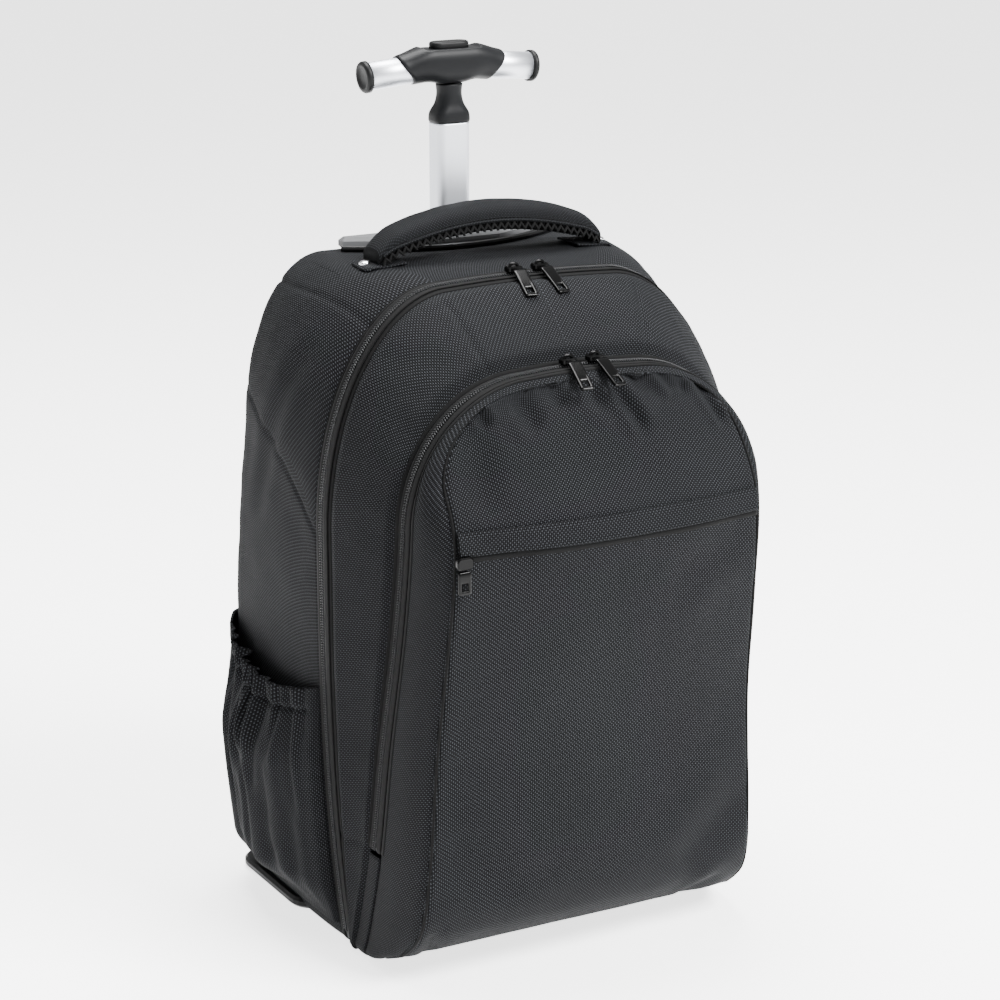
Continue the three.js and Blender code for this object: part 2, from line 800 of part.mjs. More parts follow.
// The body between the two zips: an open tray of cloth whose front wall backs the pocket
function addFrontShell() {
  const mouth = moved(mainArch, -MAIN_TAPE_FRONT - SEAT);
  const front = moved(pocketArch, POCKET_TAPE_REAR + CLOTH_SEAT);
  const middle = {
    ...mainArch,
    half: lerp(mainArch.half, front.half, FRONT_MIDDLE.half),
    foot: lerp(mainArch.foot, front.foot, FRONT_MIDDLE.foot),
    top: lerp(mainArch.top, front.top, FRONT_MIDDLE.top),
    shoulder: lerp(mainArch.shoulder, front.shoulder, FRONT_MIDDLE.shoulder),
    reach: lerp(mainArch.reach, front.reach, FRONT_MIDDLE.reach),
    lift: front.lift * FRONT_MIDDLE.depth,
    ease: (share) => lerp(mainArch.ease(share), front.ease(share), FRONT_MIDDLE.depth),
    surface: (z) => lerp(mouth.surface(z), front.surface(z), FRONT_MIDDLE.depth),
  };
  const outer = toSolid(loftArches([mouth, middle, front]));
  const inner = toSolid(
    loftArches([
      moved(inset(mouth, CLOTH), MOUTH_OVERLAP),
      moved(inset(middle, CLOTH), CLOTH * FRONT_MIDDLE.depth),
      moved(inset(front, CLOTH), CLOTH),
    ]),
  );
  add('front_shell', toGeometry(outer.subtract(inner)), CHARCOAL);
}

// The front pocket: a gusset that narrows to nothing at the top, and a crowned front panel
function addPocketShell() {
  const mouth = moved(pocketArch, -POCKET_TAPE_FRONT - CLOTH_SEAT);
  const seam = panelSeam;
  const gusset = {
    ...mouth,
    half: lerp(mouth.half, seam.half, GUSSET_MIDDLE.half),
    foot: lerp(mouth.foot, seam.foot, GUSSET_MIDDLE.foot),
    base: PANEL_LIFT * GUSSET_MIDDLE.depth,
    top: lerp(mouth.top, seam.top, GUSSET_MIDDLE.top),
    shoulder: lerp(mouth.shoulder, seam.shoulder, GUSSET_MIDDLE.shoulder),
    reach: lerp(mouth.reach, seam.reach, GUSSET_MIDDLE.reach),
    surface: (z) => lerp(mouth.surface(z), seam.surface(z, 1), GUSSET_MIDDLE.depth),
  };
  const outer = toSolid(loftArches([mouth, gusset, seam]));
  const inner = toSolid(
    loftArches([
      moved(inset(mouth, POCKET_CLOTH), MOUTH_OVERLAP),
      inset(gusset, POCKET_CLOTH),
      moved(inset(seam, POCKET_CLOTH), POCKET_CLOTH),
    ]),
  );
  add('pocket_shell', toGeometry(outer.subtract(inner)), CHARCOAL);
}

// A zip that runs all round an arch: two tapes, and a raised coil above a height
function zipBand(shape, front, rear, coilStart) {
  const loop = outlineOf(archGrid(shape));
  const sections = loop.map((point, index) => {
    const before = loop[(index + loop.length - 1) % loop.length];
    const after = loop[(index + 1) % loop.length];
    const out = new THREE.Vector3(after.z - before.z, 0, before.x - after.x).normalize();
    const coil = point.z > coilStart ? COIL_HEIGHT : 0;
    const rim = COIL_WIDTH / 2;
    const corners = [
      [rear, 0],
      [rim, coil],
      [-rim, coil],
      [-front, 0],
      [-front, -TAPE_THICKNESS],
      [rear, -TAPE_THICKNESS],
    ];
    return corners.map(([across, high]) => {
      return point.clone().addScaledVector(out, high).add(new THREE.Vector3(0, across, 0));
    });
  });
  return loftLoops(sections, true);
}

// A band laid on the front panel, over the slip pocket's opening
function addSlipBand() {
  const half = PANEL_WIDTH / 2 - BAND_THICKNESS;
  const sheet = (offset) => (up, along) => {
    const across = 2 * along - 1;
    const z = BAND_HEIGHT + BAND_DEPTH * up;
    return new THREE.Vector3(half * across, frontAt(z, across) - offset, z);
  };
  const band = slab(2, BAND_COLUMNS, sheet(CLOTH_SEAT), sheet(CLOTH_SEAT + BAND_THICKNESS));
  add('slip_pocket_band', band, CHARCOAL);
}

// Half width of the rear body at a height below its shoulder
function sideAt(y, z) {
  const edgeStart = backAt(z) - SIDE_EDGE_RADIUS;
  const rows = REAR_SECTIONS.map((row) => ({ at: row.depth * backAt(z), spread: row.spread }));
  rows.push({ at: edgeStart, spread: REAR_EDGE.spread });
  const spread = readTable(rows, 'spread', y);
  const share = clamp01((z - HEEL_RADIUS) / (mainArch.shoulder - HEEL_RADIUS));
  const turn = clamp01((y - edgeStart) / SIDE_EDGE_RADIUS);
  const round = SIDE_EDGE_RADIUS * (1 - Math.sqrt(1 - turn * turn));
  return spread * lerp(mainArch.foot, mainArch.half, quickTaper(share)) - round;
}

// A gathered side pocket: a cloth wall that stands off the body, open at the top
function addSidePocket(name, side) {
  const wall = (offset) => (up, along) => {
    const y = SIDE_POCKET_START + SIDE_POCKET_LENGTH * along;
    const sine = Math.sin(Math.PI * clamp01(along));
    const level = lerp(SIDE_POCKET_FRONT_HEIGHT, SIDE_POCKET_BACK_HEIGHT, along ** 2);
    const rim = level - SIDE_POCKET_DIP * sine;
    const z = lerp(SIDE_POCKET_BOTTOM, rim, up);
    const plan = sine ** SIDE_POCKET_ROUNDNESS;
    const gather = smooth((up - SIDE_POCKET_GATHER_START) / (1 - SIDE_POCKET_GATHER_START));
    const swell = smooth(up / SIDE_POCKET_RISE) * (1 - SIDE_POCKET_GATHER * gather);
    let bulge = SIDE_POCKET_BULGE * plan * swell;
    for (const fold of SIDE_FOLDS) {
      bulge -= SIDE_POCKET_FOLD * fold.depth * bell(along - fold.along, fold.wide) * plan * swell;
    }
    return new THREE.Vector3(side * (sideAt(y, z) + CLOTH_SEAT + bulge + offset), y, z);
  };
  const cloth = slab(SIDE_POCKET_ROWS, SIDE_POCKET_COLUMNS, wall(0), wall(SIDE_POCKET_CLOTH));
  add(name, cloth, CHARCOAL);
}

// Height of the body's top, behind the zip
function topAt(x, y) {
  const rows = REAR_SECTIONS.map((row) => ({ at: row.depth * backAt(BODY_HEIGHT), ...row }));
  const at = (column) => readTable(rows, column, y);
  const start = mainArch.half * at('spread') - CORNER_REACH * at('reach');
  const over = clamp01((Math.abs(x) - start) / (CORNER_REACH * at('reach')));
  const top = lerp(ZIP_ARCH_HEIGHT, BODY_HEIGHT, at('rise'));
  return top - CORNER_DROP * at('drop') * (1 - Math.sqrt(1 - over * over));
}

// The padded carry handle, on two riveted tabs
function addCarryHandle() {
  const seat = BODY_HEIGHT + CLOTH_SEAT + TAB_THICKNESS + SEAT;
  const loops = [];
  const squared = (value) => Math.sign(value) * Math.abs(value) ** HANDLE_SQUARENESS;
  for (let step = 0; step <= HANDLE_STEPS; step += 1) {
    const along = step / HANDLE_STEPS;
    const thick = lerp(HANDLE_END_THICKNESS, HANDLE_THICKNESS, readTable(HANDLE_PROFILE, 'thick', along));
    const wide = HANDLE_WIDTH * readTable(HANDLE_PROFILE, 'wide', along);
    const arch = HANDLE_RISE * Math.sin(Math.PI * along) ** HANDLE_ARCH_POWER;
    const x = (HANDLE_SPAN / 2) * (2 * along - 1);
    const middle = new THREE.Vector3(x, HANDLE_Y, seat + HANDLE_END_THICKNESS / 2 + arch);
    const loop = [];
    for (let corner = 0; corner < PIN_SIDES; corner += 1) {
      const angle = (corner / PIN_SIDES) * 2 * Math.PI;
      const y = (squared(Math.cos(angle)) * wide) / 2;
      const z = (squared(Math.sin(angle)) * thick) / 2;
      loop.push(middle.clone().add(new THREE.Vector3(0, y, z)));
    }
    loops.push(loop);
  }
  add('carry_handle', loftLoops(loops), CHARCOAL);
}

// The riveted tabs at the carry handle's ends
function addHandleTabs() {
  for (const { name, side } of SIDES) {
    const sheet = (offset) => (across, along) => {
      const x = side * (HANDLE_SPAN / 2 + TAB_OUTSET - TAB_LENGTH * along);
      const y = HANDLE_Y + TAB_WIDTH * (across - 0.5);
      return new THREE.Vector3(x, y, topAt(x, y) + offset);
    };
    const tab = slab(TAB_ROWS, TAB_COLUMNS, sheet(CLOTH_SEAT), sheet(CLOTH_SEAT + TAB_THICKNESS));
    add(`handle_tab_${name}`, tab, CHARCOAL);
    const profile = RIVET_PROFILE.map((row) => {
      return new THREE.Vector2(RIVET_RADIUS * row.out, RIVET_HEIGHT * row.up);
    });
    const rivet = new THREE.LatheGeometry(profile, PIN_SIDES).rotateX(Math.PI / 2);
    const rivetX = side * (HANDLE_SPAN / 2 + TAB_OUTSET - RIVET_RADIUS - RIVET_EDGE);
    const rivetZ = topAt(rivetX - side * RIVET_RADIUS, HANDLE_Y) + CLOTH_SEAT + TAB_THICKNESS + SEAT;
    rivet.translate(rivetX, HANDLE_Y, rivetZ);
    add(`handle_rivet_${name}`, rivet, CHROME);
  }
}

// The plastic cap that the post comes out of, with a trim along its front
function bezelOutline() {
  const half = BEZEL_WIDTH / 2;
  const back = POST_Y + POST_DEPTH / 2;
  const front = back - BEZEL_DEPTH;
  const shape = new THREE.Shape();
  shape.moveTo(-half, back);
  shape.lineTo(-half, front + BEZEL_BOW);
  shape.quadraticCurveTo(0, front - BEZEL_BOW, half, front + BEZEL_BOW);
  shape.lineTo(half, back);
  shape.closePath();
  return shape;
}

function addBezel() {
  const floor = BODY_HEIGHT + SEAT;
  const cap = raised(bezelOutline(), floor, floor + BEZEL_HEIGHT, BEZEL_BEVEL);
  const sleeve = raised(postSection(SLEEVE_GROWTH + SEAT), 0, SLEEVE_TOP + SEAT).translate(0, POST_Y, 0);
  const post = raised(postSection(SLIDING), 0, 2 * BODY_HEIGHT).translate(0, POST_Y, 0);
  const bored = toSolid(cap).subtract(toSolid(sleeve)).subtract(toSolid(post));
  add('handle_bezel', toGeometry(bored), PLASTIC_GREY);
  const half = BEZEL_WIDTH / 2 + BEZEL_LIP;
  const front = POST_Y + POST_DEPTH / 2 - BEZEL_DEPTH - TRIM_RADIUS - SEAT;
  const bow = new THREE.QuadraticBezierCurve3(
    new THREE.Vector3(-half, front + BEZEL_BOW, floor + TRIM_RADIUS),
    new THREE.Vector3(0, front - BEZEL_BOW, floor + TRIM_RADIUS),
    new THREE.Vector3(half, front + BEZEL_BOW, floor + TRIM_RADIUS),
  );
  const round = new THREE.Shape().absarc(0, 0, TRIM_RADIUS, 0, 2 * Math.PI);
  const settings = { steps: TRIM_STEPS, extrudePath: bow, bevelEnabled: false, curveSegments: 4 };
  add('bezel_trim', new THREE.ExtrudeGeometry(round, settings), PLASTIC_BLACK);
}

// A hollow upright tube of the post's section
function uprightTube(growth, wall, from, to) {
  const shape = postSection(growth);
  const bore = postSection(growth - wall).getPoints(2);
  shape.holes.push(new THREE.Path(bore.reverse()));
  return raised(shape, from, to, 0, 2).translate(0, POST_Y, 0);
}

// The neck that joins the post to the grip
function addNeck() {
  const loops = [];
  const ring = (width, depth, z) => {
    const corner = Math.min(width, depth) / 2 - 1;
    return roundedRectangle(width, depth, corner)
      .getSpacedPoints(PIN_SIDES + 4)
      .slice(0, PIN_SIDES + 4)
      .map((point) => new THREE.Vector3(point.x, point.y + POST_Y, z));
  };
  for (const row of NECK_PROFILE) {
    const width = lerp(NECK_FOOT_WIDTH, NECK_TOP_WIDTH, row.narrowed);
    const depth = width - (POST_WIDTH - POST_DEPTH) * (1 - row.narrowed);
    loops.push(ring(width, depth, POST_TOP + SEAT + NECK_HEIGHT * row.at));
  }
  const plugSize = -POST_WALL - SEAT;
  const plug = raised(postSection(plugSize), POST_TOP - NECK_PLUG, POST_TOP + 1).translate(0, POST_Y, 0);
  const neck = toSolid(loftLoops(loops)).add(toSolid(plug));
  add('grip_neck', toGeometry(neck), PLASTIC_BLACK);
}

const GRIP_BASE = POST_TOP + NECK_HEIGHT + 2 * SEAT;
const GRIP_AXIS = GRIP_BASE + GRIP_HOUSING_HEIGHT / 2;

// Places a piece of the grip's bar: modelled along X from the middle, then drooped
function drooped(geometry, side) {
  geometry.rotateY(THREE.MathUtils.degToRad(side * GRIP_DROOP));
  return geometry.translate(0, POST_Y, GRIP_AXIS);
}

function addGrip() {
  const top = GRIP_HOUSING_TOP / 2;
  const foot = GRIP_HOUSING_FOOT / 2;
  const face = new THREE.Shape();
  face.moveTo(-foot, 0);
  face.lineTo(foot, 0);
  face.lineTo(top, GRIP_HOUSING_HEIGHT * GRIP_SHOULDER_SHARE);
  face.quadraticCurveTo(top / 2, GRIP_HOUSING_HEIGHT, 0, GRIP_HOUSING_HEIGHT);
  face.quadraticCurveTo(-top / 2, GRIP_HOUSING_HEIGHT, -top, GRIP_HOUSING_HEIGHT * GRIP_SHOULDER_SHARE);
  face.closePath();
  const body = raised(face, 0, GRIP_HOUSING_DEPTH, GRIP_BEVEL).rotateX(Math.PI / 2);
  body.translate(0, POST_Y + GRIP_HOUSING_DEPTH / 2, GRIP_BASE);
  let housing = toSolid(body);
  const barStart = GRIP_HOUSING_FOOT / 4;
  const barEnd = GRIP_LENGTH / 2;
  for (const { name, side } of SIDES) {
    const boreRadius = GRIP_TUBE_RADIUS + SEAT;
    const boreStart = barStart - SEAT;
    const bore = cylinderAcross(boreRadius, barEnd - boreStart, ROUND_SIDES);
    bore.translate((side * (barEnd + boreStart)) / 2, 0, 0);
    housing = housing.subtract(toSolid(drooped(bore, side)));
    const core = GRIP_TUBE_RADIUS - GRIP_TUBE_WALL;
    const profile = [
      new THREE.Vector2(core, barStart),
      new THREE.Vector2(GRIP_TUBE_RADIUS, barStart),
      new THREE.Vector2(GRIP_TUBE_RADIUS, barEnd),
      new THREE.Vector2(core, barEnd),
      new THREE.Vector2(core, barStart),
    ];
    const tube = new THREE.LatheGeometry(profile, ROUND_SIDES).rotateZ((-side * Math.PI) / 2);
    add(`grip_tube_${name}`, drooped(tube, side), ALUMINIUM);
    const plugRadius = core - SEAT;
    const capProfile = [
      new THREE.Vector2(0, barEnd - 2 * GRIP_CAP_LENGTH),
      new THREE.Vector2(plugRadius, barEnd - 2 * GRIP_CAP_LENGTH),
      new THREE.Vector2(plugRadius, barEnd + SEAT),
      new THREE.Vector2(GRIP_CAP_RADIUS, barEnd + SEAT),
      new THREE.Vector2(GRIP_CAP_RADIUS, barEnd + GRIP_CAP_LENGTH),
      new THREE.Vector2(GRIP_CAP_RADIUS - 1, barEnd + GRIP_CAP_LENGTH + 1),
      new THREE.Vector2(0, barEnd + GRIP_CAP_LENGTH + 1),
    ];
    const cap = new THREE.LatheGeometry(capProfile, PIN_SIDES).rotateZ((-side * Math.PI) / 2);
    add(`grip_cap_${name}`, drooped(cap, side), PLASTIC_BLACK);
  }
  const buttonTop = GRIP_BASE + GRIP_HOUSING_HEIGHT + BUTTON_PROUD;
  const buttonFloor = buttonTop - BUTTON_HEIGHT;
  const oval = (growth) => stadium(BUTTON_LENGTH + 2 * growth, BUTTON_WIDTH + 2 * growth);
  const well = raised(oval(SLIDING), buttonFloor - BUTTON_TRAVEL - SEAT, buttonTop + BUTTON_HEIGHT);
  housing = housing.subtract(toSolid(well.translate(0, POST_Y, 0)));
  add('grip_housing', toGeometry(housing), PLASTIC_BLACK);
  const button = raised(oval(0), buttonFloor, buttonTop, BUTTON_BEVEL, 4);
  add('grip_button', button.translate(0, POST_Y, 0), PLASTIC_BLACK);
}

// The moulded housing across the back of the base, with a well for each wheel
function addWheelHousing() {
  let housing = housingSolid(0);
  for (const side of [-1, 1]) {
    const width = WHEEL_WIDTH + 2 * WELL_CLEARANCE;
    const height = 2 * (WHEEL_RADIUS + WELL_CLEARANCE);
    const well = new THREE.BoxGeometry(width, height, height);
    well.translate((side * WHEEL_SPREAD) / 2, WHEEL_Y + WELL_CLEARANCE, WHEEL_RADIUS);
    const axleHole = cylinderAcross(AXLE_RADIUS + SEAT, width + 2 * AXLE_SEAT_DEPTH, PIN_SIDES);
    axleHole.translate((side * WHEEL_SPREAD) / 2, WHEEL_Y, WHEEL_RADIUS);
    housing = housing.subtract(toSolid(well)).subtract(toSolid(axleHole));
  }
  add('wheel_housing', toGeometry(housing), PLASTIC_BLACK);
}

function addWheels() {
  const half = WHEEL_WIDTH / 2;
  const rim = WHEEL_RADIUS - TYRE_DEPTH;
  const tyreProfile = [
    new THREE.Vector2(rim, -half),
    new THREE.Vector2(WHEEL_RADIUS - TYRE_SHOULDER, -half),
    new THREE.Vector2(WHEEL_RADIUS, -half + TREAD_INSET),
    new THREE.Vector2(WHEEL_RADIUS, half - TREAD_INSET),
    new THREE.Vector2(WHEEL_RADIUS - TYRE_SHOULDER, half),
    new THREE.Vector2(rim, half),
    new THREE.Vector2(rim, -half),
  ];
  const bore = AXLE_RADIUS + SEAT;
  const seat = rim - SEAT;
  const web = half / 3;
  const hubProfile = [
    new THREE.Vector2(bore, -half),
    new THREE.Vector2(BOSS_RADIUS, -half),
    new THREE.Vector2(BOSS_RADIUS, -web),
    new THREE.Vector2(seat, -half + HUB_INSET),
    new THREE.Vector2(seat, half - HUB_INSET),
    new THREE.Vector2(BOSS_RADIUS, web),
    new THREE.Vector2(BOSS_RADIUS, half),
    new THREE.Vector2(bore, half),
    new THREE.Vector2(bore, -half),
  ];
  for (const { name, side } of SIDES) {
    const place = (geometry) => geometry.translate((side * WHEEL_SPREAD) / 2, WHEEL_Y, WHEEL_RADIUS);
    const tyre = new THREE.LatheGeometry(tyreProfile, ROUND_SIDES + 4).rotateZ(Math.PI / 2);
    add(`wheel_tyre_${name}`, place(tyre), RUBBER);
    const hub = new THREE.LatheGeometry(hubProfile, ROUND_SIDES - 4).rotateZ(Math.PI / 2);
    add(`wheel_hub_${name}`, place(hub), PLASTIC_GREY);
    const axle = cylinderAcross(AXLE_RADIUS, WHEEL_WIDTH + AXLE_SEAT_DEPTH, PIN_SIDES);
    add(`wheel_axle_${name}`, place(axle), CHROME);
  }
}

// The padded back panel
function addBackPad() {
  const foot = {
    ...mainArch,
    half: BACK_PAD_WIDTH / 2,
    foot: (BACK_PAD_WIDTH / 2) * BACK_PAD_FOOT_SHARE,
    base: BACK_PAD_BOTTOM,
    heel: 3 * HEEL_RADIUS,
    top: BACK_PAD_TOP,
    shoulder: BACK_PAD_TOP - CORNER_DROP / 2,
    reach: CORNER_REACH * BACK_PAD_REACH_SHARE,
    crown: 0,
    surface: (z) => backAt(z) + CLOTH_SEAT,
  };
  const edge = moved(foot, BACK_PAD_THICKNESS * BACK_PAD_EDGE_SHARE);
  const face = moved(inset(foot, BACK_PAD_THICKNESS * BACK_PAD_EDGE_SHARE), BACK_PAD_THICKNESS);
  add('back_pad', loftArches([foot, edge, face]), MESH_BLACK);
}

// A band that lies down the back, between two heights and two distances from the middle
function backBand(side, from, to, spreadFrom, spreadTo, width, lift, thickness) {
  const sheet = (offset, narrow) => (down, along) => {
    const z = lerp(from, to, down);
    const middle = lerp(spreadFrom, spreadTo, smooth(down)) / 2;
    const end = lerp(STRAP_END_SHARE, 1, smooth(Math.min(down, 1 - down) / STRAP_END_SHARE ** 3));
    const x = side * (middle + (width / 2 - narrow) * end * (2 * along - 1));
    return new THREE.Vector3(x, backAt(z) + lift + offset, z);
  };
  return slab(BAND_ROWS, BAND_LANES, sheet(0, 0), sheet(thickness, Math.min(thickness, width / 8)));
}

function addStraps() {
  const lift = BACK_PAD_THICKNESS + 2 * CLOTH_SEAT;
  const lapEnd = STRAP_BOTTOM + WEBBING_WIDTH;
  for (const { name, side } of SIDES) {
    const pad = backBand(
      side,
      STRAP_TOP,
      STRAP_BOTTOM,
      STRAP_TOP_SPREAD,
      STRAP_BOTTOM_SPREAD,
      STRAP_WIDTH,
      lift + WEBBING_THICKNESS + CLOTH_SEAT,
      STRAP_THICKNESS,
    );
    add(`shoulder_strap_${name}`, pad, MESH_BLACK);
    const webbing = backBand(
      side,
      lapEnd,
      WEBBING_BOTTOM,
      STRAP_BOTTOM_SPREAD,
      STRAP_BOTTOM_SPREAD,
      WEBBING_WIDTH,
      lift,
      WEBBING_THICKNESS,
    );
    add(`strap_webbing_${name}`, webbing, TAPE_BLACK);
  }
}

// A slider whose base lies at a point, and the flat pull that hangs from another point: out
// faces away from the zip, along runs with it, and down is the way the pull hangs
function addPull(name, { base, from, out, along, down }) {
  const slide = new THREE.Matrix4().makeBasis(along, out.clone().cross(along), out);
  const outline = roundedRectangle(SLIDER_LENGTH, SLIDER_WIDTH, SLIDER_CORNER);
  const body = raised(outline, 0, SLIDER_HEIGHT, SLIDER_BEVEL, 2);
  add(`${name}_slider`, body.applyMatrix4(slide).translate(base.x, base.y, base.z), GLOSS_BLACK);
  const across = down.clone().cross(out).normalize();
  const hang = new THREE.Matrix4().makeBasis(across, down, across.clone().cross(down));
  const plate = roundedRectangle(PULL_WIDTH, PULL_LENGTH, PULL_CORNER);
  const half = PULL_WINDOW / 2;
  const middle = PULL_LENGTH / 2 - PULL_WINDOW;
  const window = new THREE.Path([
    new THREE.Vector2(-half, middle - half),
    new THREE.Vector2(-half, middle + half),
    new THREE.Vector2(half, middle + half),
    new THREE.Vector2(half, middle - half),
  ]);
  plate.holes.push(window);
  const tab = raised(plate, -PULL_THICKNESS / 2, PULL_THICKNESS / 2, 0, 1);
  tab.translate(0, PULL_LENGTH / 2, 0).applyMatrix4(hang);
  add(`${name}_pull`, tab.translate(from.x, from.y, from.z), GLOSS_BLACK);
}

// The two sliders at the crown of a zip, whose pulls fall forward from it
function addPullPair(zip, y, height, fall) {
  const out = new THREE.Vector3(0, 0, 1);
  const along = new THREE.Vector3(1, 0, 0);
  const top = height + ZIP_ARCH_CROWN + COIL_HEIGHT + SEAT;
  for (const { name, x, lean } of SLIDERS) {
    const base = new THREE.Vector3(x, y, top);
    const front = y - SLIDER_WIDTH / 2 - SEAT - PULL_THICKNESS;
    const from = new THREE.Vector3(x, front, top + PULL_CLEARANCE);
    const down = new THREE.Vector3(lean, -1, -fall).normalize();
    addPull(`${zip}_${name}`, { base, from, out, along, down });
  }
}

// The slider under the slip pocket's band; its pull hangs down, clear of a panel that bulges below it
function addSlipPull() {
  const x = -PANEL_WIDTH / 2 + PULL_WIDTH / 2;
  const y = frontAt(BAND_HEIGHT, -1) - CLOTH_SEAT - BAND_THICKNESS - SEAT;
  const bulge = Math.min(0, frontAt(BAND_HEIGHT - SLIDER_WIDTH, -1) - frontAt(BAND_HEIGHT, -1));
  const down = new THREE.Vector3(0, bulge, -SLIDER_WIDTH).normalize();
  const out = new THREE.Vector3(0, down.z, -down.y);
  const along = new THREE.Vector3(1, 0, 0);
  const base = new THREE.Vector3(x, y, BAND_HEIGHT).addScaledVector(down, SLIDER_WIDTH / 2);
  const from = base.clone().addScaledVector(down, SLIDER_WIDTH / 2 + SEAT);
  from.addScaledVector(out, PULL_THICKNESS);
  addPull('slip_zip', { base, from, out, along, down });
}

addRearShell();
addFrontShell();
addPocketShell();
add('main_zip', zipBand(mainArch, MAIN_TAPE_FRONT, MAIN_TAPE_REAR, MAIN_COIL_START), TAPE_BLACK);
add('pocket_zip', zipBand(pocketArch, POCKET_TAPE_FRONT, POCKET_TAPE_REAR, POCKET_COIL_START), TAPE_BLACK);
addSlipBand();
addSidePocket('side_pocket_left', -1);
addSidePocket('side_pocket_right', 1);
addCarryHandle();
addHandleTabs();
addBezel();
add('post_sleeve', uprightTube(SLEEVE_GROWTH, SLEEVE_WALL, SLEEVE_FOOT, SLEEVE_TOP), ALUMINIUM);
add('post', uprightTube(0, POST_WALL, POST_TOP - POST_LENGTH, POST_TOP), ALUMINIUM);
addNeck();
addGrip();
addWheelHousing();
addWheels();
addBackPad();
addStraps();
addPullPair('main_zip', 0, ZIP_ARCH_HEIGHT, MAIN_PULL_FALL);
addPullPair('pocket_zip', -POCKET_ARCH_REACH, POCKET_HEIGHT, POCKET_PULL_FALL);
addSlipPull();

// The origin is the middle of the footprint, on the ground
const box = new THREE.Box3().setFromObject(bag);
bag.position.set(0, -(box.min.y + box.max.y) / 2, -box.min.z);

export default bag;
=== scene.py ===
import math

import bmesh
import bpy
import numpy as np
from mathutils import Matrix, Vector


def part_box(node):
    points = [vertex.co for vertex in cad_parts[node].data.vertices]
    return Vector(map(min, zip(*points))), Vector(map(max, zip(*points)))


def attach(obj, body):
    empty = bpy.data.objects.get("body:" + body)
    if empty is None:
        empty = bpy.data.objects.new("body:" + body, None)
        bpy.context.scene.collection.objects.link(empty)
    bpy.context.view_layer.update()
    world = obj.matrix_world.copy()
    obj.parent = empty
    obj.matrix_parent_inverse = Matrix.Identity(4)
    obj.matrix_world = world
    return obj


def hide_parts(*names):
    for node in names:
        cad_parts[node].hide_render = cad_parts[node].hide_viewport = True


# Lengths in this script are millimetres until a mesh is made, and Y = 0 is the main zip's plane,
# as in the part's own source. The bag's front faces -Y.

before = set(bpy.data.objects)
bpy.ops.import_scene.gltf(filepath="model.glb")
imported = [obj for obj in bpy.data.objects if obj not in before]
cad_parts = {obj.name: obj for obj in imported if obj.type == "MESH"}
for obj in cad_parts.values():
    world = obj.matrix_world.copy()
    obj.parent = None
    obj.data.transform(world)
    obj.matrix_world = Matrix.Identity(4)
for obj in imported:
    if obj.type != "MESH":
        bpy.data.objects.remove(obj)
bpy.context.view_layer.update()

MM = 0.001
TINY = 1e-9
FAR = 1e9
WELD = 1e-6
POST_Y = 115
SHIFT_Y = (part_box("post")[0].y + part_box("post")[1].y) / 2 / MM - POST_Y

# The body's sizes, as in the part's source
BODY_WIDTH = 335
BODY_HEIGHT = 510
BASE_WIDTH = 304
ZIP_ARCH_HEIGHT = 503
ZIP_ARCH_CROWN = 2
CORNER_REACH = 100
CORNER_DROP = 173
BACK_REACH = 186
SIDE_EDGE_RADIUS = 32
TOP_EDGE_RADIUS = 14
HEEL_RADIUS = 9
POCKET_HEIGHT = 450
POCKET_WIDTH = 281
POCKET_BASE_WIDTH = 305
POCKET_ARCH_REACH = 80
POCKET_CORNER_REACH = 97
POCKET_CORNER_DROP = 100
PANEL_WIDTH = 254
PANEL_BASE_WIDTH = 290
PANEL_CORNER_REACH = 80
PANEL_CORNER_DROP = 68
PANEL_TOP_INSET = 6
PANEL_LIFT = 2
FRONT_REACH = 130
FRONT_CROWN = 10
FRONT_SAG = 7
SAG_FADE = 60
MAIN_TAPE_FRONT = 9
MAIN_TAPE_REAR = 8
POCKET_TAPE_FRONT = 9
POCKET_TAPE_REAR = 7
MAIN_COIL_START = 12
POCKET_COIL_START = 92
POCKET_TAPE_START = 91
BAND_HEIGHT = 340
BAND_DEPTH = 15
SEAT = 0.3
CLOTH_SEAT = 0.8
CLOTH = 1.6

# Stations along half an arch, from the middle of its base to its crown
BASE_STATIONS = 26
HEEL_STATIONS = 6
SIDE_STATIONS = 96
CORNER_STATIONS = 66
CROWN_STATIONS = 22

# Points of each form's grid: rows, columns
GRIDS = {
    "flap": (26, 220),
    "slip_mouth_shadow": (5, 120),
    "side_pocket": (110, 150),
    "handle": (110, 48),
    "tab": (30, 30),
    "neck": (40, 56),
    "grip": (90, 64),
    "cushion": (130, 100),
    "strap": (120, 56),
    "yoke": (40, 110),
}

# Gentle unevenness of each form: height, length, seed
RIPPLES = {
    "rear_wide": (1.6, 120, 3),
    "rear_fine": (0.5, 46, 5),
    "front_wide": (1.3, 90, 11),
    "front_fine": (0.5, 34, 12),
    "panel_wide": (1.1, 110, 21),
    "panel_fine": (0.35, 30, 22),
    "flap": (0.3, 60, 25),
    "gusset": (0.9, 80, 31),
    "side_pocket": (1.0, 50, 41),
    "handle": (0.35, 24, 51),
    "tab": (0.25, 16, 61),
    "cushion": (0.5, 60, 71),
    "webbing": (0.5, 40, 81),
    "yoke": (0.35, 30, 91),
}
RIPPLE_WAVES = 7

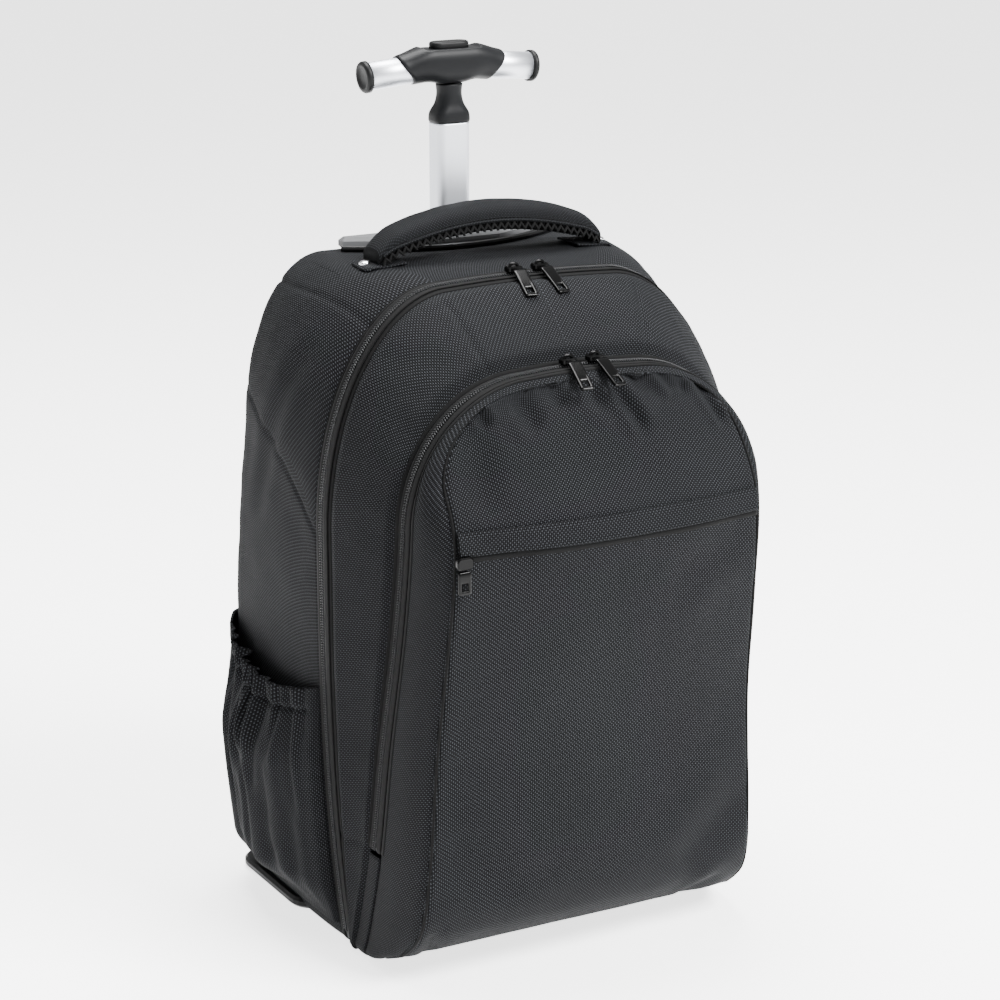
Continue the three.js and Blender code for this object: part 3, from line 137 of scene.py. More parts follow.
# The rear body's sections, from the zip (0) to the back (1), as shares of the main arch
REAR_ROWS = {
    "spread": [(0, 1), (0.14, 1.01), (0.35, 1.015), (0.62, 1.015), (1, 1.005)],
    "rise": [(0, 0), (0.14, 0.75), (0.35, 1), (0.62, 1), (1, 1)],
    "reach": [(0, 1), (0.14, 0.9), (0.35, 0.78), (0.62, 0.68), (1, 0.66)],
    "drop": [(0, 1), (0.14, 0.88), (0.35, 0.74), (0.62, 0.68), (1, 0.7)],
}
REAR_LINEAR_END = 0.62
BACK_PROFILE = [(0, 0.97), (0.12, 1), (0.4, 0.99), (0.58, 0.935), (0.73, 0.855), (0.88, 0.785), (1, 0.755)]
POCKET_ZIP_PROFILE = [(0, 0.22), (0.06, 0.36), (0.2, 0.56), (0.4, 0.69), (0.61, 0.875), (0.82, 1), (1, 1)]
FRONT_PROFILE = [
    (0, 0.27),
    (0.024, 0.45),
    (0.045, 0.6),
    (0.1, 0.78),
    (0.2, 0.845),
    (0.41, 0.87),
    (0.62, 0.96),
    (0.735, 1),
    (0.8, 0.965),
    (0.867, 0.84),
    (0.96, 0.755),
    (1, 0.735),
]
FRONT_DENTS = [
    # place across and up, width, height, depth
    (0.34, 0.9, 0.4, 0.03, 0.35),
    (-0.72, 0.87, 0.16, 0.05, 0.3),
    (0.3, 0.3, 0.5, 0.2, 0.3),
]


def lerp(a, b, share):
    return a + (b - a) * share


def smooth(share):
    t = np.clip(share, 0, 1)
    return t * t * (3 - 2 * t)


def bell(distance, width):
    return np.exp(-((distance / width) ** 2))


def unit(vectors):
    """Vectors at length one, along the last axis"""
    vectors = np.asarray(vectors, float)
    return vectors / np.maximum(np.linalg.norm(vectors, axis=-1, keepdims=True), TINY)


def run_lengths(path):
    """How far along a path each of its points lies"""
    return np.concatenate([[0], np.cumsum(np.linalg.norm(np.diff(path, axis=0), axis=1))])


def read_path(path, lengths, at):
    """Points of a path at given lengths along it"""
    return np.stack([np.interp(at, lengths, path[:, axis]) for axis in range(3)], -1)


def shares_of(name, low=-1):
    """Two grids of shares over a form: 0 to 1 up its rows, and low to 1 along its columns"""
    rows, columns = GRIDS[name]
    return np.meshgrid(np.linspace(0, 1, rows), np.linspace(low, 1, columns), indexing="ij")


def round_angles(count):
    return np.linspace(0, 2 * math.pi, count, endpoint=False)


def curve(points, at):
    """Reads a smooth curve through points (place, value)"""
    xs, ys = np.array(points, float).T
    slopes = np.empty(len(xs))
    slopes[1:-1] = (ys[2:] - ys[:-2]) / (xs[2:] - xs[:-2])
    slopes[0] = (ys[1] - ys[0]) / (xs[1] - xs[0])
    slopes[-1] = (ys[-1] - ys[-2]) / (xs[-1] - xs[-2])
    place = np.clip(at, xs[0], xs[-1])
    low = np.clip(np.searchsorted(xs, place, side="right") - 1, 0, len(xs) - 2)
    width = xs[low + 1] - xs[low]
    t = (place - xs[low]) / width
    rest = 1 - t
    near = ys[low] * (1 + 2 * t) * rest**2 + slopes[low] * width * t * rest**2
    far = ys[low + 1] * (3 - 2 * t) * t**2 - slopes[low + 1] * width * rest * t**2
    return near + far


def back_at(z):
    return BACK_REACH * curve(BACK_PROFILE, z / BODY_HEIGHT)


def pocket_zip_at(z):
    return -POCKET_ARCH_REACH * curve(POCKET_ZIP_PROFILE, z / POCKET_HEIGHT)


def front_at(z, across):
    up = z / POCKET_HEIGHT
    seam = FRONT_REACH * curve(FRONT_PROFILE, up)
    fill = smooth(up / 0.2) * smooth((1 - up) / 0.12)
    crown = FRONT_CROWN * fill * (1 - across**2)
    for place, height, wide, tall, depth in FRONT_DENTS:
        near = bell(across - place, wide) * bell(up - height, tall)
        crown = crown - FRONT_CROWN * depth * near * fill * (1 - across**4)
    return -seam - crown


def quick_taper(share):
    return 1 - (1 - share) ** 3


def even_taper(share):
    return 1 - (1 - share) ** 1.5


def arch_rows(shape):
    """Half an arch, from the end of its flat base to its crown: x, z and how far each row crowns"""
    heel = np.linspace(0, 1, HEEL_STATIONS + 1) * math.pi / 2
    x = list(shape["foot"] - shape["heel"] * (1 - np.sin(heel)))
    z = list(shape["base"] + shape["heel"] * (1 - np.cos(heel)))
    side = np.linspace(0, 1, SIDE_STATIONS + 1)[1:]
    x += list(lerp(shape["foot"], shape["half"], shape["ease"](side)))
    z += list(lerp(shape["base"] + shape["heel"], shape["shoulder"], side))
    corner = np.linspace(0, 1, CORNER_STATIONS + 1)[1:] * math.pi / 2
    x += list(shape["half"] - shape["reach"] * (1 - np.cos(corner)))
    z += list(shape["shoulder"] + (shape["top"] - shape["shoulder"]) * np.sin(corner))
    crown = [0] * (HEEL_STATIONS + 1 + SIDE_STATIONS) + list(np.sin(corner) ** 4)
    return np.array(x), np.array(z), np.array(crown)


def arch_point(shape, x, z, crown, across):
    lift = 1 - smooth((z - shape["base"]) / SAG_FADE)
    z = z + (crown * shape["crown"] + lift * shape["lift"]) * (1 - across**2)
    return np.stack([x * across, shape["surface"](z, across), z], -1)


def arch_loop(shape):
    """The outline of an arch as one loop, from the middle of its base up the right side"""
    x, z, crown = arch_rows(shape)
    base = np.linspace(0, 1, BASE_STATIONS + 1)[:-1]
    top = 1 - np.linspace(0, 1, CROWN_STATIONS + 1)[1:]
    xs = np.concatenate([np.full(len(base), x[0]), x, np.full(len(top), x[-1])])
    zs = np.concatenate([np.full(len(base), z[0]), z, np.full(len(top), z[-1])])
    crowns = np.concatenate([np.zeros(len(base)), crown, np.full(len(top), crown[-1])])
    across = np.concatenate([base, np.ones(len(x)), top])
    right = arch_point(shape, xs, zs, crowns, across)
    left = right[-2:0:-1] * np.array([-1, 1, 1])
    return np.concatenate([right, left])


def arch_wall(shape, columns):
    """The inside of an arch as a grid of points, row by row from its base"""
    x, z, crown = arch_rows(shape)
    across = np.linspace(-1, 1, columns)
    grid_x, grid_across = np.meshgrid(x, across, indexing="ij")
    grid_z = np.repeat(z[:, None], columns, 1)
    grid_crown = np.repeat(crown[:, None], columns, 1)
    return arch_point(shape, grid_x, grid_z, grid_crown, grid_across)


MAIN_ARCH = {
    "half": BODY_WIDTH / 2,
    "foot": BASE_WIDTH / 2,
    "base": 0,
    "heel": HEEL_RADIUS,
    "shoulder": ZIP_ARCH_HEIGHT - CORNER_DROP,
    "top": ZIP_ARCH_HEIGHT,
    "reach": CORNER_REACH,
    "crown": ZIP_ARCH_CROWN,
    "lift": 0,
    "ease": quick_taper,
    "surface": lambda z, across: 0 * z,
}
POCKET_ARCH = {
    "half": POCKET_WIDTH / 2,
    "foot": POCKET_BASE_WIDTH / 2,
    "base": 0,
    "heel": HEEL_RADIUS,
    "shoulder": POCKET_HEIGHT - POCKET_CORNER_DROP,
    "top": POCKET_HEIGHT,
    "reach": POCKET_CORNER_REACH,
    "crown": ZIP_ARCH_CROWN,
    "lift": FRONT_SAG / 2,
    "ease": smooth,
    "surface": lambda z, across: pocket_zip_at(z),
}
PANEL_SEAM = {
    "half": PANEL_WIDTH / 2,
    "foot": PANEL_BASE_WIDTH / 2,
    "base": PANEL_LIFT,
    "heel": HEEL_RADIUS,
    "shoulder": POCKET_HEIGHT - PANEL_TOP_INSET - PANEL_CORNER_DROP,
    "top": POCKET_HEIGHT - PANEL_TOP_INSET,
    "reach": PANEL_CORNER_REACH,
    "crown": ZIP_ARCH_CROWN,
    "lift": FRONT_SAG,
    "ease": even_taper,
    "surface": front_at,
}


def moved(shape, offset):
    surface = shape["surface"]
    return {**shape, "surface": lambda z, across: surface(z, across) + offset}


def rear_arch(at):
    """A section of the rear body, from the zip (0) to where the back's edge starts to round (1)"""
    row = {name: float(curve(points, at)) for name, points in REAR_ROWS.items()}
    top = lerp(ZIP_ARCH_HEIGHT, BODY_HEIGHT, row["rise"])
    shape = {
        **MAIN_ARCH,
        "half": MAIN_ARCH["half"] * row["spread"],
        "foot": MAIN_ARCH["foot"] * row["spread"],
        "top": top,
        "shoulder": top - CORNER_DROP * row["drop"],
        "reach": CORNER_REACH * row["reach"],
        "crown": ZIP_ARCH_CROWN * (1 - row["rise"]),
    }
    start = MAIN_TAPE_REAR + SEAT

    def surface(z, across):
        near = lerp(start, back_at(z), min(at, REAR_LINEAR_END))
        if at <= REAR_LINEAR_END:
            return near
        edge = back_at(z) - edge_radius(shape, z)
        return lerp(near, edge, (at - REAR_LINEAR_END) / (1 - REAR_LINEAR_END))

    return {**shape, "surface": surface}


def edge_radius(shape, z):
    share = smooth((z - shape["shoulder"]) / (shape["top"] - shape["shoulder"]))
    return lerp(SIDE_EDGE_RADIUS, TOP_EDGE_RADIUS, share)


def rear_edge(angle):
    square = rear_arch(1)
    turned = 1 - math.cos(angle)
    return {
        **square,
        "half": square["half"] - SIDE_EDGE_RADIUS * turned,
        "foot": square["foot"] - SIDE_EDGE_RADIUS * turned,
        "reach": square["reach"] - (SIDE_EDGE_RADIUS - TOP_EDGE_RADIUS) * turned,
        "top": square["top"] - TOP_EDGE_RADIUS * turned,
        "base": TOP_EDGE_RADIUS * turned,
        "surface": lambda z, across: back_at(z) - edge_radius(square, z) * (1 - math.sin(angle)),
    }


# Meshes

STEEP = 0.2
CAPSULE_ENDS = (0.08, 0.92)
CAPSULE_TAPER = 0.6


def grid_normals(points, wrap):
    """Unit normals of a grid of points; wrap says whether its columns run round"""
    along = np.gradient(points, axis=0)
    if wrap:
        across = np.roll(points, -1, axis=1) - np.roll(points, 1, axis=1)
    else:
        across = np.gradient(points, axis=1)
    normals = np.cross(across, along)
    return unit(normals)


def make_object(name, vertices, faces, material, weave=None):
    """A mesh object from vertices in millimetres, with its faces turned outwards"""
    co = np.array(vertices, float).reshape(-1, 3)
    co = (co + np.array([0, SHIFT_Y, 0])) * MM
    mesh = bpy.data.meshes.new(name)
    mesh.from_pydata(co.tolist(), [], [list(map(int, face)) for face in faces])
    if weave is not None:
        layer = mesh.attributes.new("weave", "FLOAT_VECTOR", "POINT")
        flat = np.zeros((len(co), 3))
        flat[:, :2] = np.array(weave, float).reshape(-1, 2) * MM
        layer.data.foreach_set("vector", flat.astype(np.float32).ravel())
    work = bmesh.new()
    work.from_mesh(mesh)
    bmesh.ops.remove_doubles(work, verts=work.verts, dist=WELD)
    bmesh.ops.recalc_face_normals(work, faces=work.faces)
    work.to_mesh(mesh)
    work.free()
    mesh.polygons.foreach_set("use_smooth", [True] * len(mesh.polygons))
    mesh.materials.append(material)
    made = bpy.data.objects.new(name, mesh)
    bpy.context.scene.collection.objects.link(made)
    return made


def finish_piece(made, body="bag", replaces=()):
    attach(made, body)
    if replaces:
        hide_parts(*replaces)
    return made


def grid_faces(rows, columns, wrap, start=0, turned=False):
    faces = []
    for row in range(rows - 1):
        for column in range(columns if wrap else columns - 1):
            a = start + row * columns + column
            b = start + row * columns + (column + 1) % columns
            face = [a, b, b + columns, a + columns]
            faces.append(face[::-1] if turned else face)
    return faces


def closing_faces(rows, columns):
    """Faces that join a grid's last row to its first one"""
    last = (rows - 1) * columns
    pairs = [(column, (column + 1) % columns) for column in range(columns)]
    return [[last + column, last + after, after, column] for column, after in pairs]


def end_faces(rows, columns):
    """The two faces that fill a wrapped grid's ends"""
    last = (rows - 1) * columns
    return [list(range(columns))[::-1], list(range(last, last + columns))]


def ring_solid(name, rings, material):
    """A solid through rings of points, its last ring joined to its first"""
    rows, columns = rings.shape[:2]
    faces = grid_faces(rows, columns, True) + closing_faces(rows, columns)
    return make_object(name, rings.reshape(-1, 3), faces, material)


def inset_ring(ring, width, height, inset):
    """A flat ring drawn in on all sides"""
    return ring * [1 - 2 * inset / width, 1 - 2 * inset / height]


def cloth_sheet(name, points, weave, material, thickness=CLOTH, wrap=False, inward=1):
    """A sheet of cloth with real thickness; its outer side is the grid of points"""
    rows, columns = points.shape[:2]
    inner = points - grid_normals(points, wrap) * thickness * inward
    count = rows * columns
    faces = grid_faces(rows, columns, wrap)
    faces += grid_faces(rows, columns, wrap, start=count, turned=True)
    for column in range(columns if wrap else columns - 1):
        after = (column + 1) % columns
        last = (rows - 1) * columns
        faces.append([after, column, count + column, count + after])
        faces.append([last + column, last + after, count + last + after, count + last + column])
    if not wrap:
        for row in range(rows - 1):
            left = row * columns
            right = left + columns - 1
            faces.append([left, left + columns, count + left + columns, count + left])
            faces.append([right + columns, right, count + right, count + right + columns])
    vertices = np.concatenate([points.reshape(-1, 3), inner.reshape(-1, 3)])
    both = np.concatenate([weave.reshape(-1, 2), weave.reshape(-1, 2)])
    return make_object(name, vertices, faces, material, both)


def arc_lengths(points, origin=0):
    """Lengths along a grid's columns and rows, from its origin column, for a weave that follows the cloth"""
    across = np.linalg.norm(np.diff(points, axis=1), axis=-1)
    along = np.linalg.norm(np.diff(points, axis=0), axis=-1)
    u = np.concatenate([np.zeros((points.shape[0], 1)), np.cumsum(across, axis=1)], axis=1)
    v = np.concatenate([np.zeros((1, points.shape[1])), np.cumsum(along, axis=0)], axis=0)
    u = u - u[:, origin : origin + 1]
    middle = points.shape[0] // 2
    return np.stack([np.repeat(u[middle : middle + 1], points.shape[0], 0), v], -1)


def wrapped_weave(points):
    """Lengths round a wrapped grid, its left half the mirror of its right"""
    weave = arc_lengths(points)
    count = points.shape[1]
    left = np.arange(count) > count // 2
    total = weave[:, -1:, 0] + weave[:, 1:2, 0]
    weave[:, left, 0] = total - weave[:, left, 0]
    return weave


def tube(name, path, radius, material, sides=10, closed=False, weave=False):
    """A round cord along a path"""
    path = np.array(path, float)
    if closed:
        tangents = np.roll(path, -1, 0) - np.roll(path, 1, 0)
    else:
        tangents = np.gradient(path, axis=0)
    tangents = unit(tangents)
    side = np.cross(tangents, (0, 0, 1.0))
    weak = np.linalg.norm(side, axis=1) < STEEP
    side[weak] = np.cross(tangents[weak], (0, 1.0, 0))
    for index in range(1, len(side)):
        if np.dot(side[index], side[index - 1]) < 0:
            side[index] = -side[index]
    side = unit(side)
    other = np.cross(side, tangents)
    angles = round_angles(sides)[None, :, None]
    around = np.cos(angles) * side[:, None, :] + np.sin(angles) * other[:, None, :]
    rings = path[:, None, :] + around * radius
    ends = closing_faces(len(path), sides) if closed else end_faces(len(path), sides)
    faces = grid_faces(len(path), sides, True) + ends
    coordinates = None
    if weave:
        turns = round_angles(sides) * radius
        coordinates = np.stack(np.meshgrid(run_lengths(path), turns, indexing="ij"), -1)
    return make_object(name, rings.reshape(-1, 3), faces, material, coordinates)


def scattered(name, template, faces, places, material):
    """Many copies of a small solid: each place is a 3x3 matrix of axes and a point"""
    vertices = []
    all_faces = []
    for axes, point in places:
        start = len(vertices) * len(template)
        vertices.append(template @ axes.T + point)
        all_faces += [[start + index for index in face] for face in faces]
    return make_object(name, np.concatenate(vertices), all_faces, material)


def capsule_template(length, width, height, rings=4, sides=6):
    """A rounded bar along its first axis, closed at both ends"""
    points = [[-length / 2, 0, 0]]
    for ring in range(rings):
        share = ring / (rings - 1)
        x = lerp(-length / 2, length / 2, lerp(*CAPSULE_ENDS, share))
        size = 1 if 0 < ring < rings - 1 else CAPSULE_TAPER
        for side in range(sides):
            angle = 2 * math.pi * side / sides
            points.append([x, math.cos(angle) * width / 2 * size, math.sin(angle) * height / 2 * size])
    points.append([length / 2, 0, 0])
    faces = [[0, 1 + (side + 1) % sides, 1 + side] for side in range(sides)]
    for ring in range(rings - 1):
        for side in range(sides):
            a = 1 + ring * sides + side
            b = 1 + ring * sides + (side + 1) % sides
            faces.append([a, b, b + sides, a + sides])
    last = 1 + (rings - 1) * sides
    faces += [[last + side, last + (side + 1) % sides, len(points) - 1] for side in range(sides)]
    return np.array(points), faces


def resample(path, step):
    """Points along a path at an even step, with the direction at each"""
    path = np.array(path, float)
    lengths = run_lengths(path)
    count = max(2, int(lengths[-1] / step) + 1)
    points = read_path(path, lengths, np.linspace(0, lengths[-1], count))
    return points, unit(np.gradient(points, axis=0))


STITCH_LENGTH = 2.6
STITCH_PITCH = 3.6
STITCH_WIDTH = 0.75
STITCH_HEIGHT = 0.6


def stitch_row(name, path, out, material):
    """A row of stitches along a path; out faces away from the cloth"""
    template, faces = capsule_template(STITCH_LENGTH, STITCH_WIDTH, STITCH_HEIGHT)
    places = []
    for point, tangent in zip(*resample(path, STITCH_PITCH)):
        side = unit(np.cross(out, tangent))
        places.append((np.stack([tangent, side, np.cross(tangent, side)], 1), point))
    finish_piece(scattered(name, template, faces, places, material))


# Materials


class Paint:
    """A material's nodes, written as short calls"""

    def __init__(self, name):
        self.material = bpy.data.materials.new(name)
        self.material.use_nodes = True
        self.tree = self.material.node_tree
        self.tree.nodes.clear()
        output = self.tree.nodes.new("ShaderNodeOutputMaterial")
        self.shader = self.tree.nodes.new("ShaderNodeBsdfPrincipled")
        self.tree.links.new(self.shader.outputs[0], output.inputs[0])

    def link(self, value, socket):
        if isinstance(value, bpy.types.NodeSocket):
            self.tree.links.new(value, socket)
        else:
            socket.default_value = value

    def set(self, **values):
        for name, value in values.items():
            self.link(value, self.shader.inputs[name.replace("_", " ")])

    def math(self, operation, *values):
        node = self.tree.nodes.new("ShaderNodeMath")
        node.operation = operation
        for socket, value in zip(node.inputs, values):
            self.link(value, socket)
        return node.outputs[0]

    def ramp(self, value, low, high):
        """Value from 0 at low to 1 at high, clamped"""
        node = self.tree.nodes.new("ShaderNodeMapRange")
        self.link(value, node.inputs[0])
        node.inputs[1].default_value = low
        node.inputs[2].default_value = high
        return node.outputs[0]

    def mix(self, share, a, b):
        node = self.tree.nodes.new("ShaderNodeMix")
        node.data_type = "RGBA"
        self.link(share, node.inputs[0])
        self.link(a, node.inputs[6])
        self.link(b, node.inputs[7])
        return node.outputs[2]

    def blend(self, share, a, b):
        node = self.tree.nodes.new("ShaderNodeMix")
        self.link(share, node.inputs[0])
        self.link(a, node.inputs[2])
        self.link(b, node.inputs[3])
        return node.outputs[0]

    def attribute(self, name):
        node = self.tree.nodes.new("ShaderNodeAttribute")
        node.attribute_name = name
        return node.outputs["Vector"]

    def place(self):
        return self.tree.nodes.new("ShaderNodeTexCoord").outputs["Object"]

    def split(self, vector):
        node = self.tree.nodes.new("ShaderNodeSeparateXYZ")
        self.link(vector, node.inputs[0])
        return node.outputs[0], node.outputs[1], node.outputs[2]

    def stretched(self, vector, scale):
        node = self.tree.nodes.new("ShaderNodeMapping")
        self.link(vector, node.inputs["Vector"])
        node.inputs["Scale"].default_value = scale
        return node.outputs[0]

    def noise(self, vector, scale, detail=3.0, roughness=0.55):
        node = self.tree.nodes.new("ShaderNodeTexNoise")
        self.link(vector, node.inputs["Vector"])
        node.inputs["Scale"].default_value = scale
        node.inputs["Detail"].default_value = detail
        node.inputs["Roughness"].default_value = roughness
        return node.outputs[0]

    def bump(self, height, distance, strength=1.0, onto=None):
        node = self.tree.nodes.new("ShaderNodeBump")
        node.inputs["Strength"].default_value = strength
        node.inputs["Distance"].default_value = distance
        self.link(height, node.inputs["Height"])
        if onto is not None:
            self.link(onto, node.inputs["Normal"])
        return node.outputs[0]


def gray(level, tint=0.0):
    """A near-neutral colour, a little blue for a positive tint"""
    return (level * (1 - tint * 0.5), level, level * (1 + tint), 1)


CLOTH_SPECULAR = 0.06
PLASTIC_SPECULAR = 0.1
GLINT_SHARPNESS = 3.0
CLOTH_ROUGHNESS = 0.82


def woven(name, light, dark, pitch, relief, second, tint):
    """Cloth of two crossed threads, its cells as wide as pitch in metres; its colour holds a painted highlight on the
    thread crowns and painted shade in the gaps between threads, over the two threads' own tones
    """
    paint = Paint(name)
    u, v, _ = paint.split(paint.attribute("weave"))
    u = paint.math("DIVIDE", u, pitch)
    v = paint.math("DIVIDE", v, pitch)
    wave_u = paint.math("SINE", paint.math("MULTIPLY", paint.math("FRACT", u), math.pi))
    wave_v = paint.math("SINE", paint.math("MULTIPLY", paint.math("FRACT", v), math.pi))
    cells = paint.math("ADD", paint.math("FLOOR", u), paint.math("FLOOR", v))
    parity = paint.math("MULTIPLY", paint.math("FRACT", paint.math("MULTIPLY", cells, 0.5)), 2)
    warp = paint.math("MULTIPLY", wave_u, paint.math("MULTIPLY_ADD", wave_v, 0.45, 0.55))
    weft = paint.math("MULTIPLY", wave_v, paint.math("MULTIPLY_ADD", wave_u, 0.45, 0.55))
    height = paint.blend(parity, warp, weft)
    # Painted highlight on each thread's crown and painted shade in the gaps between threads, times the second thread's
    # own darker tone
    shade = paint.math("MULTIPLY", paint.math("POWER", height, GLINT_SHARPNESS), paint.blend(parity, 1.0, second))
    patches = paint.noise(paint.place(), 9, 4)
    fine = paint.noise(paint.place(), 420, 2)
    shade = paint.math("MULTIPLY", shade, paint.math("MULTIPLY_ADD", patches, 0.5, 0.75))
    shade = paint.math("MULTIPLY", shade, paint.math("MULTIPLY_ADD", fine, 0.4, 0.8))
    # light is the colour of the painted highlight on the crowns, dark the painted shade between threads
    color = paint.mix(shade, gray(dark, tint), gray(light, tint))
    paint.set(Base_Color=color, Roughness=paint.math("MULTIPLY_ADD", height, -0.14, CLOTH_ROUGHNESS))
    paint.shader.inputs["Specular IOR Level"].default_value = CLOTH_SPECULAR
    paint.set(Normal=paint.bump(height, relief, 0.9))
    return paint.material


def ribbed(name, level, pitch, relief, rough=0.75, cross=0.25, tint=0.03):
    """Narrow tape: fine ribs along one way, with a faint cross thread"""
    paint = Paint(name)
    u, v, _ = paint.split(paint.attribute("weave"))
    rib = paint.math("SINE", paint.math("MULTIPLY", u, 2 * math.pi / pitch))
    thread = paint.math("SINE", paint.math("MULTIPLY", v, 2 * math.pi / (pitch * 0.8)))
    height = paint.math("MULTIPLY_ADD", thread, cross, rib)
    patches = paint.noise(paint.place(), 14, 4)
    share = paint.math("MULTIPLY_ADD", height, 0.16, patches)
    color = paint.mix(share, gray(level * 0.62, tint), gray(level * 1.35, tint))
    paint.set(Base_Color=color, Roughness=paint.math("MULTIPLY_ADD", patches, 0.2, rough - 0.1))
    paint.shader.inputs["Sheen Weight"].default_value = 0.01
    paint.shader.inputs["Specular IOR Level"].default_value = CLOTH_SPECULAR
    paint.set(Normal=paint.bump(height, relief, 0.6))
    return paint.material


def meshwork(name, level, pitch, relief):
    """Open spacer mesh over foam: rows of small holes"""
    paint = Paint(name)
    u, v, _ = paint.split(paint.attribute("weave"))
    u = paint.math("DIVIDE", u, pitch)
    v = paint.math("DIVIDE", v, pitch * 0.86)
    shift = paint.math("FRACT", paint.math("MULTIPLY", paint.math("FLOOR", v), 0.5))
    a = paint.math("SUBTRACT", paint.math("FRACT", paint.math("ADD", u, shift)), 0.5)
    b = paint.math("SUBTRACT", paint.math("FRACT", v), 0.5)
    away = paint.math("SQRT", paint.math("ADD", paint.math("MULTIPLY", a, a), paint.math("MULTIPLY", b, b)))
    height = paint.ramp(away, 0.16, 0.42)
    patches = paint.noise(paint.place(), 12, 3)
    share = paint.math("MULTIPLY", height, paint.math("MULTIPLY_ADD", patches, 0.6, 0.7))
    color = paint.mix(share, gray(level * 0.25), gray(level, 0.04))
    paint.set(Base_Color=color, Roughness=paint.math("MULTIPLY_ADD", height, -0.15, 0.92))
    paint.shader.inputs["Specular IOR Level"].default_value = 0.05
    paint.set(Normal=paint.bump(height, relief, 1.0))
    return paint.material


def plastic(name, level, rough, grain=0.00006, tint=0.04, scale=900):
    """Moulded plastic with a fine texture and faint wear"""
    paint = Paint(name)
    fine = paint.noise(paint.place(), scale, 2)
    wide = paint.noise(paint.place(), 18, 4)
    color = paint.mix(wide, gray(level * 0.8, tint), gray(level * 1.25, tint))
    paint.set(Base_Color=color, Roughness=paint.math("MULTIPLY_ADD", wide, 0.16, rough - 0.08))
    paint.shader.inputs["Specular IOR Level"].default_value = PLASTIC_SPECULAR
    paint.set(Normal=paint.bump(fine, grain, 0.7))
    return paint.material


def metal(name, level, rough, along=(60, 60, 3), relief=0.00001, tint=0.02):
    """Metal with a drawn or brushed grain along the axis with the smallest scale"""
    paint = Paint(name)
    grain = paint.noise(paint.stretched(paint.place(), along), 12, 3)
    wide = paint.noise(paint.place(), 10, 2)
    share = paint.math("MULTIPLY_ADD", grain, 0.5, 0.25)
    color = paint.mix(share, gray(level * 0.86, tint), gray(level, tint))
    drawn = paint.math("MULTIPLY_ADD", grain, 0.08, rough - 0.1)
    paint.set(Base_Color=color, Metallic=1.0, Roughness=paint.math("MULTIPLY_ADD", wide, 0.14, drawn))
    paint.set(Normal=paint.bump(grain, relief, 0.5))
    return paint.material


def thread_material(name, level):
    paint = Paint(name)
    twist = paint.noise(paint.place(), 1500, 1)
    paint.set(Base_Color=paint.mix(twist, gray(level * 0.7), gray(level * 1.3)))
    paint.set(Roughness=paint.math("MULTIPLY_ADD", twist, 0.2, 0.6))
    paint.shader.inputs["Specular IOR Level"].default_value = PLASTIC_SPECULAR
    paint.set(Normal=paint.bump(twist, 0.0001, 0.6))
    return paint.material


# The cloths' first colour level is the painted highlight on thread crowns, the second the painted shade between threads
CLOTH_WEAVE = woven("ballistic_cloth", 0.04, 0.0002, 0.0015, 0.0004, second=0.2, tint=0.12)
HANDLE_WEAVE = woven("handle_cloth", 0.03, 0.0004, 0.0012, 0.0003, second=0.3, tint=0.12)
TAPE = ribbed("zip_tape", 0.003, 0.0009, 0.00006)
WEBBING = ribbed("strap_webbing", 0.0035, 0.0021, 0.0003, cross=0.5)
PAD_MESH = meshwork("pad_mesh", 0.005, 0.0034, 0.0005)
COIL = plastic("zip_coil", 0.022, 0.25, scale=400)
GRIP_PLASTIC = plastic("grip_plastic", 0.004, 0.44, tint=0.12)
BASE_PLASTIC = plastic("base_plastic", 0.005, 0.45)
BEZEL_PLASTIC = plastic("bezel_plastic", 0.09, 0.4, tint=0.03)
HUB_PLASTIC = plastic("hub_plastic", 0.05, 0.45)
RUBBER = plastic("wheel_rubber", 0.006, 0.75, grain=0.0001)
TUBE_METAL = metal("anodised_tube", 0.7, 0.46, tint=0.06)
BAR_METAL = metal("anodised_bar", 0.7, 0.44, along=(3, 60, 60), tint=0.06)
RIVET_METAL = metal("polished_rivet", 0.92, 0.16, along=(20, 20, 20))
ENAMEL = plastic("black_enamel", 0.001, 0.2, grain=0.00001)
THREAD = thread_material("thread", 0.004)


# Rear body


def sewn_in(distance, depth, width):
    """How far cloth dips towards a seam, by its distance from it"""
    return -depth * bell(distance, width)


def to_polyline(a, b, line):
    """Distance of points (a, b) from a line through given points"""
    best = np.full(np.shape(a), FAR)
    for (a0, b0), (a1, b1) in zip(line[:-1], line[1:]):
        da, db = a1 - a0, b1 - b0
        share = np.clip(((a - a0) * da + (b - b0) * db) / (da * da + db * db), 0, 1)
        best = np.minimum(best, np.hypot(a - a0 - share * da, b - b0 - share * db))
    return best


def crease(a, b, start, end, width, depth, taper=0.3):
    """A fold's valley between two points, fading at both ends, with a small ridge beside it"""
    (a0, b0), (a1, b1) = start, end
    da, db = a1 - a0, b1 - b0
    share = ((a - a0) * da + (b - b0) * db) / (da * da + db * db)
    near = np.clip(share, 0, 1)
    distance = np.hypot(a - a0 - near * da, b - b0 - near * db)
    fade = smooth(near / taper + 0.35) * smooth((1 - near) / taper)
    valley = bell(distance, width) - 0.45 * bell(distance - 1.9 * width, width)
    return -depth * valley * fade


def ripple(name, a, b):
    """A form's gentle unevenness, the same each run"""
    height, scale, seed = RIPPLES[name]
    dice = np.random.default_rng(seed)
    total = 0
    for _ in range(RIPPLE_WAVES):
        angle = dice.uniform(0, math.pi)
        length = scale * dice.uniform(0.6, 1.8)
        phase = dice.uniform(0, 2 * math.pi)
        total = total + np.sin((a * math.cos(angle) + b * math.sin(angle)) * 2 * math.pi / length + phase)
    return height * total / RIPPLE_WAVES


REAR_SECTIONS = 46
WALL_COLUMNS = 60
WALL_SEAT = 0.6
PIPING_ANGLE = math.radians(80)
PIPING_RADIUS = 1.7
SIDE_SHIFT = 40
SIDE_START = 120
ZIP_DIP = 1.2
EDGE_SECTIONS = 9
SEAM_DEPTH = 1.3
SEAM_WIDTH = 2.2
TOP_SEAM_CORNER = 0.64
